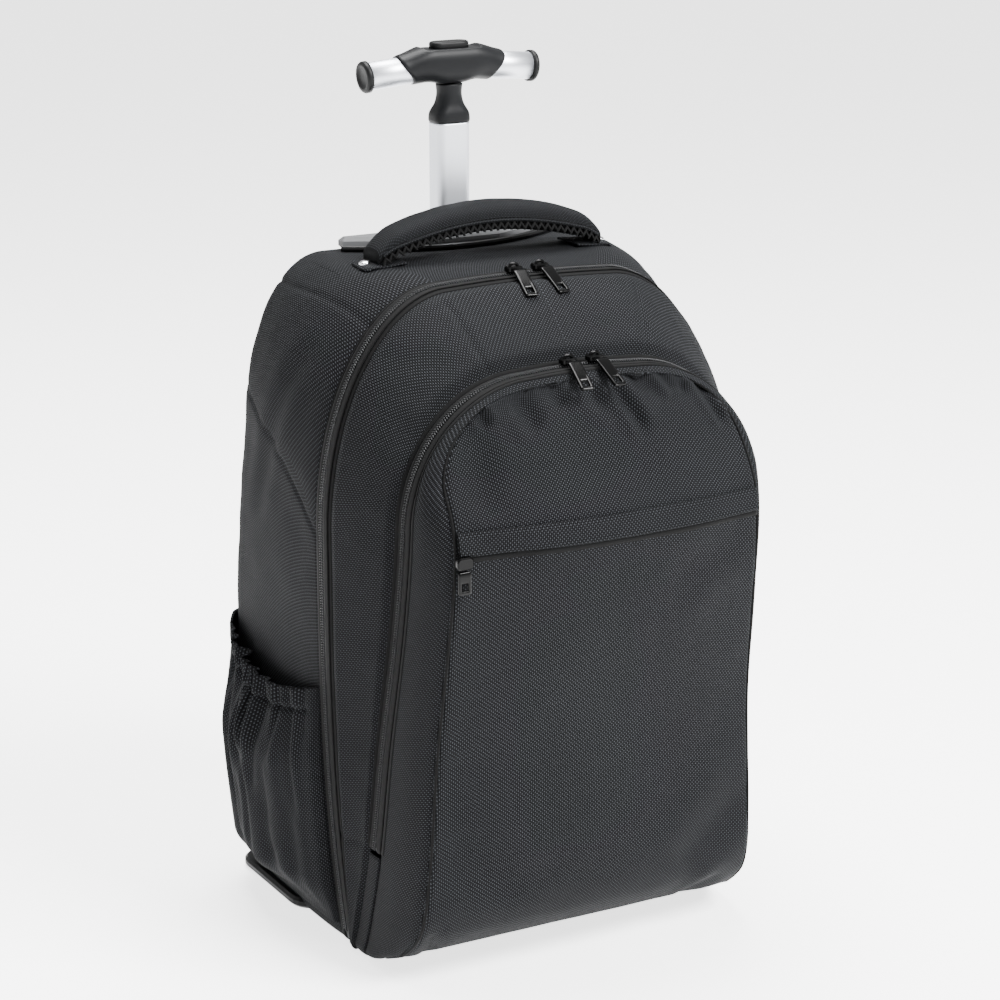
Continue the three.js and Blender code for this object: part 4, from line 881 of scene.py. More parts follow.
# Folds of the rear body's sides: start and end as (y, z), width, depth, side
REAR_FOLDS = [
    ((40, 470), (120, 300), 9, 1.6, -1),
    ((60, 440), (150, 250), 8, 1.4, 1),
]
STYLE_SEAM = [(140, 416), (121, 406), (107, 398), (85, 385), (59, 368), (29, 341), (8, 324)]


def station(name, share=0.0):
    """Index in a loop of a place on its right half"""
    starts = {
        "base": 0,
        "heel": BASE_STATIONS,
        "side": BASE_STATIONS + HEEL_STATIONS,
        "corner": BASE_STATIONS + HEEL_STATIONS + SIDE_STATIONS,
        "crown": BASE_STATIONS + HEEL_STATIONS + SIDE_STATIONS + CORNER_STATIONS,
    }
    counts = {
        "base": BASE_STATIONS,
        "heel": HEEL_STATIONS,
        "side": SIDE_STATIONS,
        "corner": CORNER_STATIONS,
        "crown": CROWN_STATIONS,
    }
    return int(round(starts[name] + counts[name] * share))


def add_rear_body():
    sections = [arch_loop(rear_arch(at)) for at in np.linspace(0, 1, REAR_SECTIONS)]
    angles = np.linspace(0, math.pi / 2, EDGE_SECTIONS + 1)[1:]
    sections += [arch_loop(rear_edge(angle)) for angle in angles]
    points = np.array(sections)
    normals = grid_normals(points, True)
    if normals[REAR_SECTIONS // 2, station("side", 0.5), 0] < 0:
        normals = -normals
    x, y, z = points[..., 0], points[..., 1], points[..., 2]
    count = points.shape[1]
    index = np.arange(count)
    half = np.minimum(index, count - index)
    corner_step = points[:, station("corner", 0.9)] - points[:, station("corner", 0.1)]
    per_station = np.linalg.norm(corner_step, axis=-1)[:, None] / (0.8 * CORNER_STATIONS)
    top_seam = np.abs(half[None, :] - station("corner", TOP_SEAM_CORNER)) * per_station
    lift = sewn_in(top_seam, SEAM_DEPTH, SEAM_WIDTH)
    sides = np.abs(x) > SIDE_START
    style = np.where(sides, to_polyline(y, z, STYLE_SEAM), FAR)
    lift = lift + sewn_in(style, SEAM_DEPTH, SEAM_WIDTH)
    lift = lift + sewn_in(y - (MAIN_TAPE_REAR + SEAT), ZIP_DIP, 2.0)
    body = smooth((y - 12) / 25) * smooth(z / 60)
    lift = lift + ripple("rear_wide", y, z + np.sign(x) * SIDE_SHIFT) * body * sides
    lift = lift + ripple("rear_fine", y, z) * body * sides
    for start, end, width, depth, side in REAR_FOLDS:
        lift = lift + crease(y, z, start, end, width, depth) * sides * (x * side > 0)
    points = points + normals * lift[..., None]
    sign = outward_sign(points)
    body_piece = cloth_sheet("rear_body", points, wrapped_weave(points), CLOTH_WEAVE, wrap=True, inward=sign)
    finish_piece(body_piece, replaces=["rear_shell"])
    add_facing("main_zip_facing_rear", points, MAIN_FACING_REAR)
    wall = arch_wall(rear_edge(math.pi / 2), WALL_COLUMNS) - [0, WALL_SEAT, 0]
    weave = np.stack([wall[..., 0], wall[..., 2]], -1)
    panel = cloth_sheet("rear_wall", wall, weave, CLOTH_WEAVE, inward=wall_sign(wall, 1))
    finish_piece(panel)
    edge = arch_loop(rear_edge(PIPING_ANGLE))
    start = station("base", 0.5)
    piping = tube("rear_piping", edge[start:-start], PIPING_RADIUS, TAPE, sides=8, weave=True)
    finish_piece(piping)


MAIN_FACING_REAR = 2.5
MAIN_FACING_FRONT = 4.5
POCKET_FACING_REAR = 4
POCKET_FACING_FRONT = 5.5
FACING_LIFT = 0.7
FACING_CLOTH = 1.0
# A facing across its width: share, height
FACING_PROFILE = [(0, 0.6), (0.06, 1), (0.5, 1.15), (0.9, 1), (0.97, 0.5), (1, -1.2)]


def add_facing(name, points, width, start=None):
    """A smooth strip sewn over a cloth's first rows, beside a zip"""
    normals = grid_normals(points, True) * outward_sign(points)
    steps = np.linalg.norm(np.diff(points, axis=0), axis=-1)
    lengths = np.concatenate([np.zeros((1, points.shape[1])), np.cumsum(steps, axis=0)])
    rows = []
    for share, high in FACING_PROFILE:
        row = np.empty(points.shape[1:])
        for column in range(points.shape[1]):
            at = share * min(width, 0.4 * lengths[-1, column])
            place = read_path(points[:, column], lengths[:, column], at)
            normal = read_path(normals[:, column], lengths[:, column], at)
            row[column] = place + normal * FACING_LIFT * high
        rows.append(row)
    grid = np.array(rows)
    sign = outward_sign(grid)
    if start is not None:
        grid = grid[:, above(grid[0], start)]
    weave = arc_lengths(grid)[..., ::-1].copy()
    strip = cloth_sheet(name, grid, weave, TAPE, FACING_CLOTH, start is None, sign)
    finish_piece(strip)


def outward_sign(points, axes=(0, 2)):
    """1 where a wrapped grid's own normals face away from its middle line, and -1 otherwise"""
    normals = grid_normals(points, True)
    middle = points.mean(axis=(0, 1))
    facing = ((points - middle) * normals)[..., list(axes)].sum(-1).mean()
    return 1 if facing > 0 else -1


def wall_sign(points, towards):
    """1 where a grid's own normals face along Y the way that towards says, and -1 otherwise"""
    facing = grid_normals(points, False)[..., 1].mean() * towards
    return 1 if facing > 0 else -1


# Front body, between the two zips

FRONT_MIDDLE = {"half": 0.45, "foot": 0.5, "top": 0.42, "shoulder": 0.5, "reach": 0.5}
FRONT_SECTIONS = 34
FRONT_SWELL = 3.2
FRONT_DIP = 1.4
FRONT_FOLD = ((-126, 420), (-112, 300), 7, 1.5)
SLANT_SEAM_LEFT = [(-76, 492), (-67, 452)]
SLANT_SEAM_RIGHT = [(80, 490), (65, 452)]
FOOT_SEAM_HEIGHT = 95
FOOT_SEAM_DEPTH = 1.2
FRONT_SEAM_WIDTH = 2.0


def between(a, b, shares, share):
    """A section between two arches, bent towards a middle one"""
    keys = ("half", "foot", "top", "shoulder", "reach", "base", "lift", "heel", "crown")
    made = dict(a)
    for key in keys:
        middle = lerp(a[key], b[key], shares.get(key, 0.5))
        made[key] = float(curve([(0, a[key]), (0.5, middle), (1, b[key])], share))
    made["ease"] = lambda s: lerp(a["ease"](s), b["ease"](s), share)
    made["surface"] = lambda z, across: lerp(a["surface"](z, across), b["surface"](z, across), share)
    return made


def add_front_body():
    mouth = moved(MAIN_ARCH, -MAIN_TAPE_FRONT - SEAT)
    front = moved(POCKET_ARCH, POCKET_TAPE_REAR + CLOTH_SEAT)
    shares = np.linspace(0, 1, FRONT_SECTIONS)
    points = np.array([arch_loop(between(mouth, front, FRONT_MIDDLE, share)) for share in shares])
    normals = grid_normals(points, True) * outward_sign(points)
    x, y, z = points[..., 0], points[..., 1], points[..., 2]
    edge = smooth(shares / 0.16) * smooth((1 - shares) / 0.16)
    lift = (FRONT_SWELL * edge * smooth(edge))[:, None] * np.ones_like(x)
    lift = lift - FRONT_DIP * (bell(shares, 0.05) + bell(1 - shares, 0.05))[:, None]
    top = smooth((z - 430) / 30)
    for seam in (SLANT_SEAM_LEFT, SLANT_SEAM_RIGHT):
        lift = lift + top * sewn_in(to_polyline(x, z, seam), FRONT_DIP, FRONT_SEAM_WIDTH)
    lift = lift + sewn_in(z - FOOT_SEAM_HEIGHT, FOOT_SEAM_DEPTH, FRONT_SEAM_WIDTH)
    body = edge[:, None]
    lift = lift + ripple("front_wide", x * 0.6 + y, z) * body
    lift = lift + ripple("front_fine", x + y, z) * body
    lift = lift + crease(x, z, *FRONT_FOLD) * body * (x < 0)
    points = points + normals * lift[..., None]
    sign = outward_sign(points)
    piece = cloth_sheet("front_body", points, wrapped_weave(points), CLOTH_WEAVE, wrap=True, inward=sign)
    finish_piece(piece, replaces=["front_shell"])
    add_facing("main_zip_facing_front", points, MAIN_FACING_FRONT)
    add_facing("pocket_zip_facing_rear", points[::-1].copy(), POCKET_FACING_REAR, POCKET_TAPE_START)


# Front pocket

GUSSET_MIDDLE = {"half": 0.35, "foot": 0.35, "top": 0.4, "shoulder": 0.5, "reach": 0.5}
GUSSET_SECTIONS = 26
GUSSET_SWELL = 2.5
FOLD_STRENGTH = 1.7
PANEL_COLUMNS = 150
PANEL_TUCK = 3.0
PANEL_CORD = 1.0
PANEL_CORD_INSET = 1.5
FLAP_STEP = 2.4
FLAP_HALF = 124.5
FLAP_CLOTH = 1.5
FLAP_SAG = 1.2
FLAP_OVERLAP = 1.6
FLAP_DROP = 0.6
# The flap's form up its height: place, lift, width
FLAP_FORM = [(0.1, 0.9, 0.12), (0, -1.2, 0.04), (0.9, -1.0, 0.06)]
# A dark tape strip under the flap's lower edge, as painted shadow of the flap at the pocket's opening: how far down it
# starts, its height, lift and thickness
MOUTH_SHADOW_DROP = 5
MOUTH_SHADOW_HEIGHT = 6
MOUTH_SHADOW_LIFT = 0.5
MOUTH_SHADOW_CLOTH = 0.6
# Folds of the front panel: start and end as (x, z), width, depth
PANEL_FOLDS = [
    ((14, 446), (44, 400), 4.5, 2.6),
    ((-12, 447), (22, 418), 6.0, 1.6),
    ((58, 446), (72, 428), 4.0, 2.2),
    ((72, 443), (80, 424), 3.6, 1.8),
    ((90, 436), (113, 398), 4.0, 2.4),
    ((-60, 440), (-45, 412), 6.5, 2.0),
    ((-94, 438), (-84, 420), 4.0, 2.2),
    ((-30, 446), (-24, 428), 5.0, 1.5),
    ((34, 448), (62, 424), 5.0, 1.4),
    ((-99, 430), (-99, 358), 12.0, 1.8),
    ((-30, 400), (60, 372), 20.0, 1.6),
    ((-116, 350), (-60, 330), 8.0, 0.8),
    ((118, 330), (40, 290), 16.0, 1.2),
    ((-128, 120), (-60, 60), 14.0, 1.4),
    ((132, 110), (70, 50), 16.0, 1.8),
    ((-134, 44), (-118, 14), 6.0, 1.4),
    ((120, 40), (96, 12), 8.0, 1.2),
]


def panel_lift(x, z, across):
    """How far the front panel stands out from its smooth form"""
    lift = 0 * x
    for start, end, width, depth in PANEL_FOLDS:
        lift = lift + crease(x, z, start, end, width, FOLD_STRENGTH * depth)
    edge = 1 - np.abs(across)
    lift = lift + ripple("panel_wide", x, z) * smooth(edge / 0.1) * smooth(z / 40)
    lift = lift + ripple("panel_fine", x, z) * smooth(edge / 0.1)
    return lift


def add_pocket():
    mouth = moved(POCKET_ARCH, -POCKET_TAPE_FRONT - CLOTH_SEAT)
    shares = np.linspace(0, 1, GUSSET_SECTIONS)
    points = np.array([arch_loop(between(mouth, PANEL_SEAM, GUSSET_MIDDLE, share)) for share in shares])
    sign = outward_sign(points)
    normals = grid_normals(points, True) * sign
    x, y, z = points[..., 0], points[..., 1], points[..., 2]
    depth = np.linalg.norm(points[-1] - points[0], axis=-1)[None, :]
    room = smooth((depth - 8) / 20)
    swell = np.sin(math.pi * shares)[:, None] * GUSSET_SWELL * room
    lift = swell - bell(shares, 0.07)[:, None] - PANEL_TUCK * bell(1 - shares, 0.09)[:, None] * room
    lift = lift + ripple("gusset", y, z) * smooth(np.sin(math.pi * shares))[:, None] * room
    points = points + normals * lift[..., None]
    gusset = cloth_sheet("pocket_gusset", points, wrapped_weave(points), CLOTH_WEAVE, wrap=True, inward=sign)
    finish_piece(gusset, replaces=["pocket_shell"])
    add_facing("pocket_zip_facing_front", points, POCKET_FACING_FRONT, POCKET_TAPE_START)
    seam = arch_loop(PANEL_SEAM)
    seam = seam * np.array([1 - PANEL_CORD_INSET / PANEL_SEAM["half"], 1, 1]) + [0, PANEL_CORD_INSET, 0]
    cord = tube("panel_piping", seam, PANEL_CORD, TAPE, sides=8, closed=True, weave=True)
    finish_piece(cord)
    wall = arch_wall(PANEL_SEAM, PANEL_COLUMNS)
    rows = wall.shape[0]
    spare = np.linspace(-1, 1, PANEL_COLUMNS)[None, :] * np.ones((rows, 1))
    front_normal = grid_normals(wall, False) * wall_sign(wall, -1)
    x, z = wall[..., 0], wall[..., 2]
    lift = panel_lift(x, z, spare)
    rim = np.minimum((1 - np.abs(spare)) * np.abs(x[:, -1:]), np.abs(wall[-1:, :, 2] - z) + 2)
    lift = lift - PANEL_TUCK * bell(rim, 2.6) * smooth((z - 8) / 20)
    wall = wall + front_normal * lift[..., None]
    weave = np.stack([wall[..., 0], arc_lengths(wall, PANEL_COLUMNS // 2)[..., 1]], -1)
    panel = cloth_sheet("pocket_panel", wall, weave, CLOTH_WEAVE, inward=wall_sign(wall, -1))
    finish_piece(panel)


def add_slip_flap():
    """The folded band over the slip pocket's opening, sewn down along its top, and a dark tape strip under the band's
    lower edge that paints the shadow it casts
    """
    up, across = shares_of("flap")
    sag = FLAP_SAG * (1 - across**2)
    z = BAND_HEIGHT - FLAP_DROP + (BAND_DEPTH + FLAP_OVERLAP) * up - sag * (1 - up)
    x = FLAP_HALF * across
    seam_half = np.interp(z, arch_rows(PANEL_SEAM)[1], arch_rows(PANEL_SEAM)[0])
    share = x / seam_half
    lift = panel_lift(x, z, share) + FLAP_STEP
    for place, high, width in FLAP_FORM:
        lift = lift + high * bell(up - place, width)
    lift = lift - 1.5 * smooth((up - 0.93) / 0.07) + ripple("flap", x, z * 3)
    y = front_at(z, share) - lift
    points = np.stack([x, y, z], -1)
    weave = np.stack([x, z], -1)
    flap = cloth_sheet("slip_flap", points, weave, CLOTH_WEAVE, FLAP_CLOTH, inward=wall_sign(points, -1))
    finish_piece(flap, replaces=["slip_pocket_band"])
    # Dark tape strip just under the flap's lower edge: painted shadow cast by the flap
    up, across = shares_of("slip_mouth_shadow")
    z = BAND_HEIGHT - MOUTH_SHADOW_DROP + MOUTH_SHADOW_HEIGHT * up - FLAP_SAG * (1 - across**2)
    x = (FLAP_HALF + 0.5) * across
    share = x / np.interp(z, arch_rows(PANEL_SEAM)[1], arch_rows(PANEL_SEAM)[0])
    lift = panel_lift(x, z, share) + MOUTH_SHADOW_LIFT * np.sin(math.pi * up)
    lip = np.stack([x, front_at(z, share) - lift, z], -1)
    weave = np.stack([z, x], -1)
    mouth = cloth_sheet("slip_mouth_shadow", lip, weave, TAPE, MOUTH_SHADOW_CLOTH, inward=wall_sign(lip, -1))
    finish_piece(mouth)


# Zips

TOOTH_PITCH = 2.0
TOOTH_LENGTH = 3.3
TOOTH_WIDTH = 1.15
TOOTH_HEIGHT = 1.5
TOOTH_LEAN = math.radians(24)
# Tapes and foot across their width: place in from the edge or share, height
REAR_TAPE_PROFILE = [(-0.5, -0.4), (-0.4, 0.4), (1.2, 0.55), (3.0, 0.45), (4.3, 0.2), (4.6, -0.6)]
FRONT_TAPE_PROFILE = [(-0.5, -0.3), (-0.4, 0.45), (1.0, 0.6), (4.4, 0.6), (5.6, 0.3), (5.9, -0.6)]
FOOT_PROFILE = [(0, -1.0), (0.04, 0.1), (0.1, 0.6), (0.5, 0.9), (0.9, 0.6), (0.96, 0.1), (1, -1.0)]
FOOT_OVERLAP = 2
TAPE_CLOTH = 0.9
BED_REACH = {"front": 5, "rear": 4}
BED_ROWS = 5
BED_DROP = 0.55
BED_CLOTH = 0.7
TOOTH_OUT = 1.45
TOOTH_LIFT = 0.85
TOOTH_STARTS = ((-1, 0.25), (1, 0.75))


def zip_frame(shape):
    """Points of a zip's line, and the outward direction at each"""
    loop = arch_loop(shape)
    before = np.roll(loop, 1, 0)
    after = np.roll(loop, -1, 0)
    out = np.stack([after[:, 2] - before[:, 2], 0 * loop[:, 0], before[:, 0] - after[:, 0]], -1)
    return loop, unit(out)


def above(loop, height):
    """Indices round a loop of the points over a height, from its right foot to its left"""
    high = np.nonzero(loop[:, 2] > height)[0]
    return np.arange(high.min(), high.max() + 1)


def below(loop, height):
    """Indices round a loop of the points under a height, from its left side to its right"""
    low = above(loop, height)
    return np.arange(low[-1] + 1 - len(loop), low[0])


def add_zip(name, shape, front, rear, coil_start, tape_start):
    loop, out = zip_frame(shape)
    forward = np.array([0, 1.0, 0])
    whole = tape_start is None
    part = np.arange(len(loop)) if whole else above(loop, tape_start)
    line, line_out = loop[part], out[part]
    tapes = (("rear", 1, rear, REAR_TAPE_PROFILE), ("front", -1, front, FRONT_TAPE_PROFILE))
    for label, side, reach, profile in tapes:
        places = [(side * (reach - inwards), high) for inwards, high in profile]
        grid = np.array([line + forward * place + line_out * high for place, high in places])
        weave = arc_lengths(grid)[..., ::-1].copy()
        tape = cloth_sheet(f"{name}_tape_{label}", grid, weave, TAPE, TAPE_CLOTH, whole, outward_sign(grid))
        finish_piece(tape, replaces=[name] if label == "rear" else [])
    spans = lerp(rear - BED_REACH["rear"], -front + BED_REACH["front"], np.linspace(0, 1, BED_ROWS))
    bed = np.array([line + forward * span - line_out * BED_DROP for span in spans])
    sign = outward_sign(bed)
    piece = cloth_sheet(f"{name}_bed", bed, arc_lengths(bed), BASE_PLASTIC, BED_CLOTH, whole, sign)
    finish_piece(piece)
    if not whole:
        add_zip_foot(name, loop, out, below(loop, tape_start + FOOT_OVERLAP), front, rear)
    high = above(loop, coil_start)
    add_coil(name, loop[high], out[high])


def add_zip_foot(name, loop, out, foot, front, rear):
    """The patch of cloth over a zip's lower end"""
    places = [(lerp(rear, -front, share), high) for share, high in FOOT_PROFILE]
    grid = np.array([loop[foot] + np.array([0, place, 0]) + out[foot] * high for place, high in places])
    patch = cloth_sheet(f"{name}_foot", grid, arc_lengths(grid), CLOTH_WEAVE, CLOTH, False, outward_sign(grid))
    finish_piece(patch)


def add_coil(name, line, line_out):
    """Two rows of leaning teeth along a zip's line"""
    lengths = run_lengths(line)
    template, faces = capsule_template(TOOTH_LENGTH, TOOTH_WIDTH, TOOTH_HEIGHT)
    places = []
    for side, start in TOOTH_STARTS:
        at = np.arange(TOOTH_PITCH * start, lengths[-1], TOOTH_PITCH)
        points = read_path(line, lengths, at)
        normals = read_path(line_out, lengths, at)
        tangents = unit(np.gradient(points, axis=0))
        for point, tangent, normal in zip(points, tangents, normals):
            across = unit(np.cross(normal, tangent))
            normal = np.cross(tangent, across)
            lean = across * math.cos(TOOTH_LEAN) + tangent * math.sin(TOOTH_LEAN) * side
            axes = np.stack([lean, np.cross(normal, lean), normal], 1)
            places.append((axes, point + across * side * TOOTH_OUT + normal * TOOTH_LIFT))
    finish_piece(scattered(f"{name}_coil", template, faces, places, COIL))


# Each zip: name, arch, reach to the front and the rear, where its coil and its tapes start
ZIPS = [
    ("main_zip", MAIN_ARCH, MAIN_TAPE_FRONT, MAIN_TAPE_REAR, MAIN_COIL_START, None),
    ("pocket_zip", POCKET_ARCH, POCKET_TAPE_FRONT, POCKET_TAPE_REAR, POCKET_COIL_START, POCKET_TAPE_START),
]

add_rear_body()
add_front_body()
add_pocket()
add_slip_flap()
for zip_row in ZIPS:
    add_zip(*zip_row)

# Places on the rear body


def side_at(y, z):
    """How far out the rear body's side stands at a place along its depth and height"""
    spread = curve(REAR_ROWS["spread"], y / back_at(z))
    turn = np.clip((y - (back_at(z) - SIDE_EDGE_RADIUS)) / SIDE_EDGE_RADIUS, 0, 1)
    rise = quick_taper(np.clip((z - HEEL_RADIUS) / (MAIN_ARCH["shoulder"] - HEEL_RADIUS), 0, 1))
    half = spread * lerp(BASE_WIDTH / 2, BODY_WIDTH / 2, rise)
    return half - SIDE_EDGE_RADIUS * (1 - np.sqrt(1 - turn**2))


def top_at(x, y):
    """Height of the rear body's top at a place across and along its depth"""
    section = rear_arch(y / float(back_at(BODY_HEIGHT)))
    turn = np.clip((abs(x) - section["half"] + section["reach"]) / section["reach"], 0, 1)
    return section["shoulder"] + (section["top"] - section["shoulder"]) * math.sqrt(1 - turn**2)


# Side pockets

SIDE_POCKET_START = 11
SIDE_POCKET_LENGTH = 163
SIDE_POCKET_BOTTOM = 14
SIDE_POCKET_RIM_FRONT = 207
SIDE_POCKET_RIM_BACK = 222
SIDE_POCKET_DIP = 14
SIDE_POCKET_BULGE = 27
HEM_HEIGHT = 15
POCKET_CLOTH = 2.0
POCKET_SINK = 4
POCKET_SINK_WIDTH = 0.012
FOLD_DEPTH = 5
HEM_SWELL = 1.6
HEM_PULL = 2.2
GATHER_SWELL = 2.1
LONG_GATHER_SWELL = 2.2
# Upright folds of a side pocket: place along it, width, depth
SIDE_POCKET_FOLDS = [
    (0.16, 0.045, 0.7),
    (0.34, 0.05, 1),
    (0.52, 0.04, 0.6),
    (0.7, 0.05, 0.9),
    (0.86, 0.04, 0.5),
]
# Long folds of a side pocket: start and end as (y, z), width, depth
SIDE_POCKET_CREASES = [
    ((128, 222), (96, 96), 5.0, 4.0),
    ((104, 205), (88, 120), 4.0, 3.0),
    ((74, 192), (84, 96), 5.5, 3.6),
    ((52, 192), (60, 128), 4.0, 2.6),
    ((150, 226), (120, 70), 5.0, 3.0),
    ((36, 194), (30, 90), 4.0, 2.0),
    ((118, 60), (96, 22), 9.0, 2.2),
    ((64, 70), (50, 26), 8.0, 2.0),
]


def add_side_pocket(name, side, node):
    up, along = shares_of("side_pocket", 0)
    y = SIDE_POCKET_START + SIDE_POCKET_LENGTH * along
    level = lerp(SIDE_POCKET_RIM_FRONT, SIDE_POCKET_RIM_BACK, along**2)
    rim = level - SIDE_POCKET_DIP * np.sin(math.pi * along)
    ends = np.minimum(along, 1 - along)
    gather = np.sin(2 * math.pi * (along * 15 + 0.5 * np.sin(along * 9 + 1) + 0.3 * np.sin(along * 23)))
    rim = rim + 0.5 * gather * smooth(ends / 0.06)
    z = lerp(SIDE_POCKET_BOTTOM, rim, up)
    plan = np.sin(math.pi * along).clip(0) ** 0.6
    swell = smooth(up / 0.2) * (1 - 0.66 * smooth((up - 0.66) / 0.34))
    tight = 1 - 0.55 * smooth((along - 0.55) / 0.4) * smooth((up - 0.6) / 0.4)
    bulge = SIDE_POCKET_BULGE * plan * swell * tight
    for place, width, depth in SIDE_POCKET_FOLDS:
        bulge = bulge - FOLD_DEPTH * depth * bell(along - place, width) * plan * swell
    fade = smooth(ends / 0.1) * smooth(up / 0.08)
    below = rim - z
    hem = smooth((below + 2) / 4) * (1 - smooth((below - HEM_HEIGHT) / 2))
    pull = bell(below - HEM_HEIGHT - 1.5, 2.4)
    reach = np.exp(-below / 26)
    bulge = bulge + fade * (GATHER_SWELL * gather * reach + HEM_SWELL * hem - HEM_PULL * pull)
    long_gather = np.sin(2 * math.pi * (along * 7.5 + 0.4 * np.sin(along * 11) + 0.0016 * below))
    bulge = bulge + fade * LONG_GATHER_SWELL * long_gather * np.exp(-below / 90)
    for start, end, width, depth in SIDE_POCKET_CREASES:
        bulge = bulge + fade * crease(y, z, start, end, width, depth)
    bulge = bulge + fade * ripple("side_pocket", y, z)
    sunk = POCKET_SINK * bell(ends, POCKET_SINK_WIDTH)
    x = side_at(y, z) + CLOTH_SEAT + POCKET_CLOTH + np.maximum(bulge, -0.2) - sunk
    points = np.stack([x * side, y, z], -1)
    weave = arc_lengths(points)
    normals = grid_normals(points, False)
    sign = 1 if normals[..., 0].mean() * side > 0 else -1
    pocket = cloth_sheet(name, points, weave, CLOTH_WEAVE, thickness=POCKET_CLOTH, inward=sign)
    finish_piece(pocket, replaces=[node])


# Carry handle

HANDLE_SPAN = 190
HANDLE_Y = 60
HANDLE_BASE = 520.1
HANDLE_RISE = 19
HANDLE_END_DROP = 4.5
HANDLE_END_SHARE = 0.09
HANDLE_ARCH = 0.8
HANDLE_WIDTH = 30
HANDLE_THIN = 13
HANDLE_THICK = 22
HANDLE_PROFILE = {
    "thick": [(0, 0), (0.1, 0.75), (0.25, 1), (0.75, 1), (0.9, 0.75), (1, 0)],
    "wide": [(0, 0.86), (0.1, 1), (0.25, 1), (0.75, 1), (0.9, 1), (1, 0.86)],
}
SECTION_POWER = 0.7
HANDLE_SPLIT = 0.5
HANDLE_READINGS = 400
HANDLE_PIPING_RADIUS = 1.3
HANDLE_PIPING_OUT = 0.3
HANDLE_PIPING_POINTS = 240
BRAID_PITCH = 2.9
BRAID_THREAD = (8.4, 2.1, 1.5)
BRAID_DROP = 4.2
# Piping and braid under the handle: name, angle round its section, how far the braid leans out
HANDLE_EDGES = [("front", -math.pi + 0.1, -0.25), ("rear", -0.1, 0.25)]


def superellipse(angle, power):
    across = np.sign(np.cos(angle)) * np.abs(np.cos(angle)) ** power
    up = np.sign(np.sin(angle)) * np.abs(np.sin(angle)) ** power
    return across, up


def handle_frame(share):
    x = HANDLE_SPAN * (share - 0.5)
    z = HANDLE_BASE + HANDLE_RISE * np.sin(math.pi * np.clip(share, 0, 1)) ** HANDLE_ARCH
    near = np.minimum(share, 1 - share)
    z = z - HANDLE_END_DROP * np.clip(1 - near / HANDLE_END_SHARE, 0, 1) ** 2
    wide = HANDLE_WIDTH * curve(HANDLE_PROFILE["wide"], share)
    thick = lerp(HANDLE_THIN, HANDLE_THICK, curve(HANDLE_PROFILE["thick"], share))
    return x, z, wide, thick


def handle_point(share, angle, grow=0.0):
    x, z, wide, thick = handle_frame(share)
    across, up = superellipse(angle, SECTION_POWER)
    return np.stack([x + 0 * up, HANDLE_Y + across * (wide / 2 + grow), z + up * (thick / 2 + grow)], -1)


def around_lengths(rings):
    """Lengths round each ring, for a weave"""
    return np.cumsum(np.linalg.norm(np.diff(rings, axis=1, prepend=rings[:, :1]), axis=-1), axis=1)


def closed_loft(name, rings, materials, chooser=None, weave=None):
    """A closed solid through rings of points, its ends filled; chooser gives each band its material"""
    rows, columns = rings.shape[:2]
    faces = grid_faces(rows, columns, True) + end_faces(rows, columns)
    made = make_object(name, rings.reshape(-1, 3), faces, materials[0], weave)
    for extra in materials[1:]:
        made.data.materials.append(extra)
    if chooser:
        for polygon in made.data.polygons:
            polygon.material_index = chooser(polygon.center / MM - Vector((0, SHIFT_Y, 0)))
    return made


def add_carry_handle():
    stations = np.linspace(0, 1, GRIDS["handle"][0])
    share, angle = np.meshgrid(stations, round_angles(GRIDS["handle"][1]), indexing="ij")
    rings = handle_point(share, angle)
    rings[..., 2] += ripple("handle", rings[..., 0], rings[..., 1])
    weave = np.stack([rings[..., 0], around_lengths(rings)], -1)
    places = np.linspace(-HANDLE_SPAN / 2, HANDLE_SPAN / 2, HANDLE_READINGS)
    centre = np.interp(places, rings[:, 0, 0], handle_frame(stations)[1])

    def chooser(place):
        middle = float(np.interp(place.x, places, centre))
        return 1 if place.z < middle - HANDLE_SPLIT else 0

    pad = closed_loft("handle_pad", rings, [HANDLE_WEAVE, PAD_MESH], chooser, weave)
    finish_piece(pad, replaces=["carry_handle"])
    for label, angle, lean_out in HANDLE_EDGES:
        shares = np.linspace(0.02, 0.98, HANDLE_PIPING_POINTS)
        line = np.array([handle_point(share, angle, HANDLE_PIPING_OUT) for share in shares])
        cord = tube(f"handle_piping_{label}", line, HANDLE_PIPING_RADIUS, HANDLE_WEAVE, sides=8, weave=True)
        finish_piece(cord)
        template, faces = capsule_template(*BRAID_THREAD)
        points, tangents = resample(line, BRAID_PITCH)
        places = []
        down = unit([0, lean_out, -1.0])
        for index, (point, tangent) in enumerate(zip(points, tangents)):
            lean = unit(tangent * 0.6 + down * (0.8 if index % 2 else -0.8))
            normal = unit(np.cross(lean, down))
            places.append((np.stack([lean, np.cross(normal, lean), normal], 1), point + down * BRAID_DROP))
        braid = scattered(f"handle_braid_{label}", template, faces, places, TAPE)
        finish_piece(braid)


TAB_REACH = (79, 107)
TAB_HALF = 16
TAB_CLOTH = 1.6
TAB_SEAT = 0.3
TAB_TUCK = 6
TAB_CROWN = 1.2
TAB_EDGE = 0.9
TAB_TAPER = 0.12
TAB_CORNER = 0.1
RIVET_X = 100.5
RIVET_RADIUS = 4.5
RIVET_HEIGHT = 2.2
RIVET_RIM = 0.2
RIVET_SUNK = 0.8
RIVET_LEAN = 0.16
RIVET_STEPS = 10


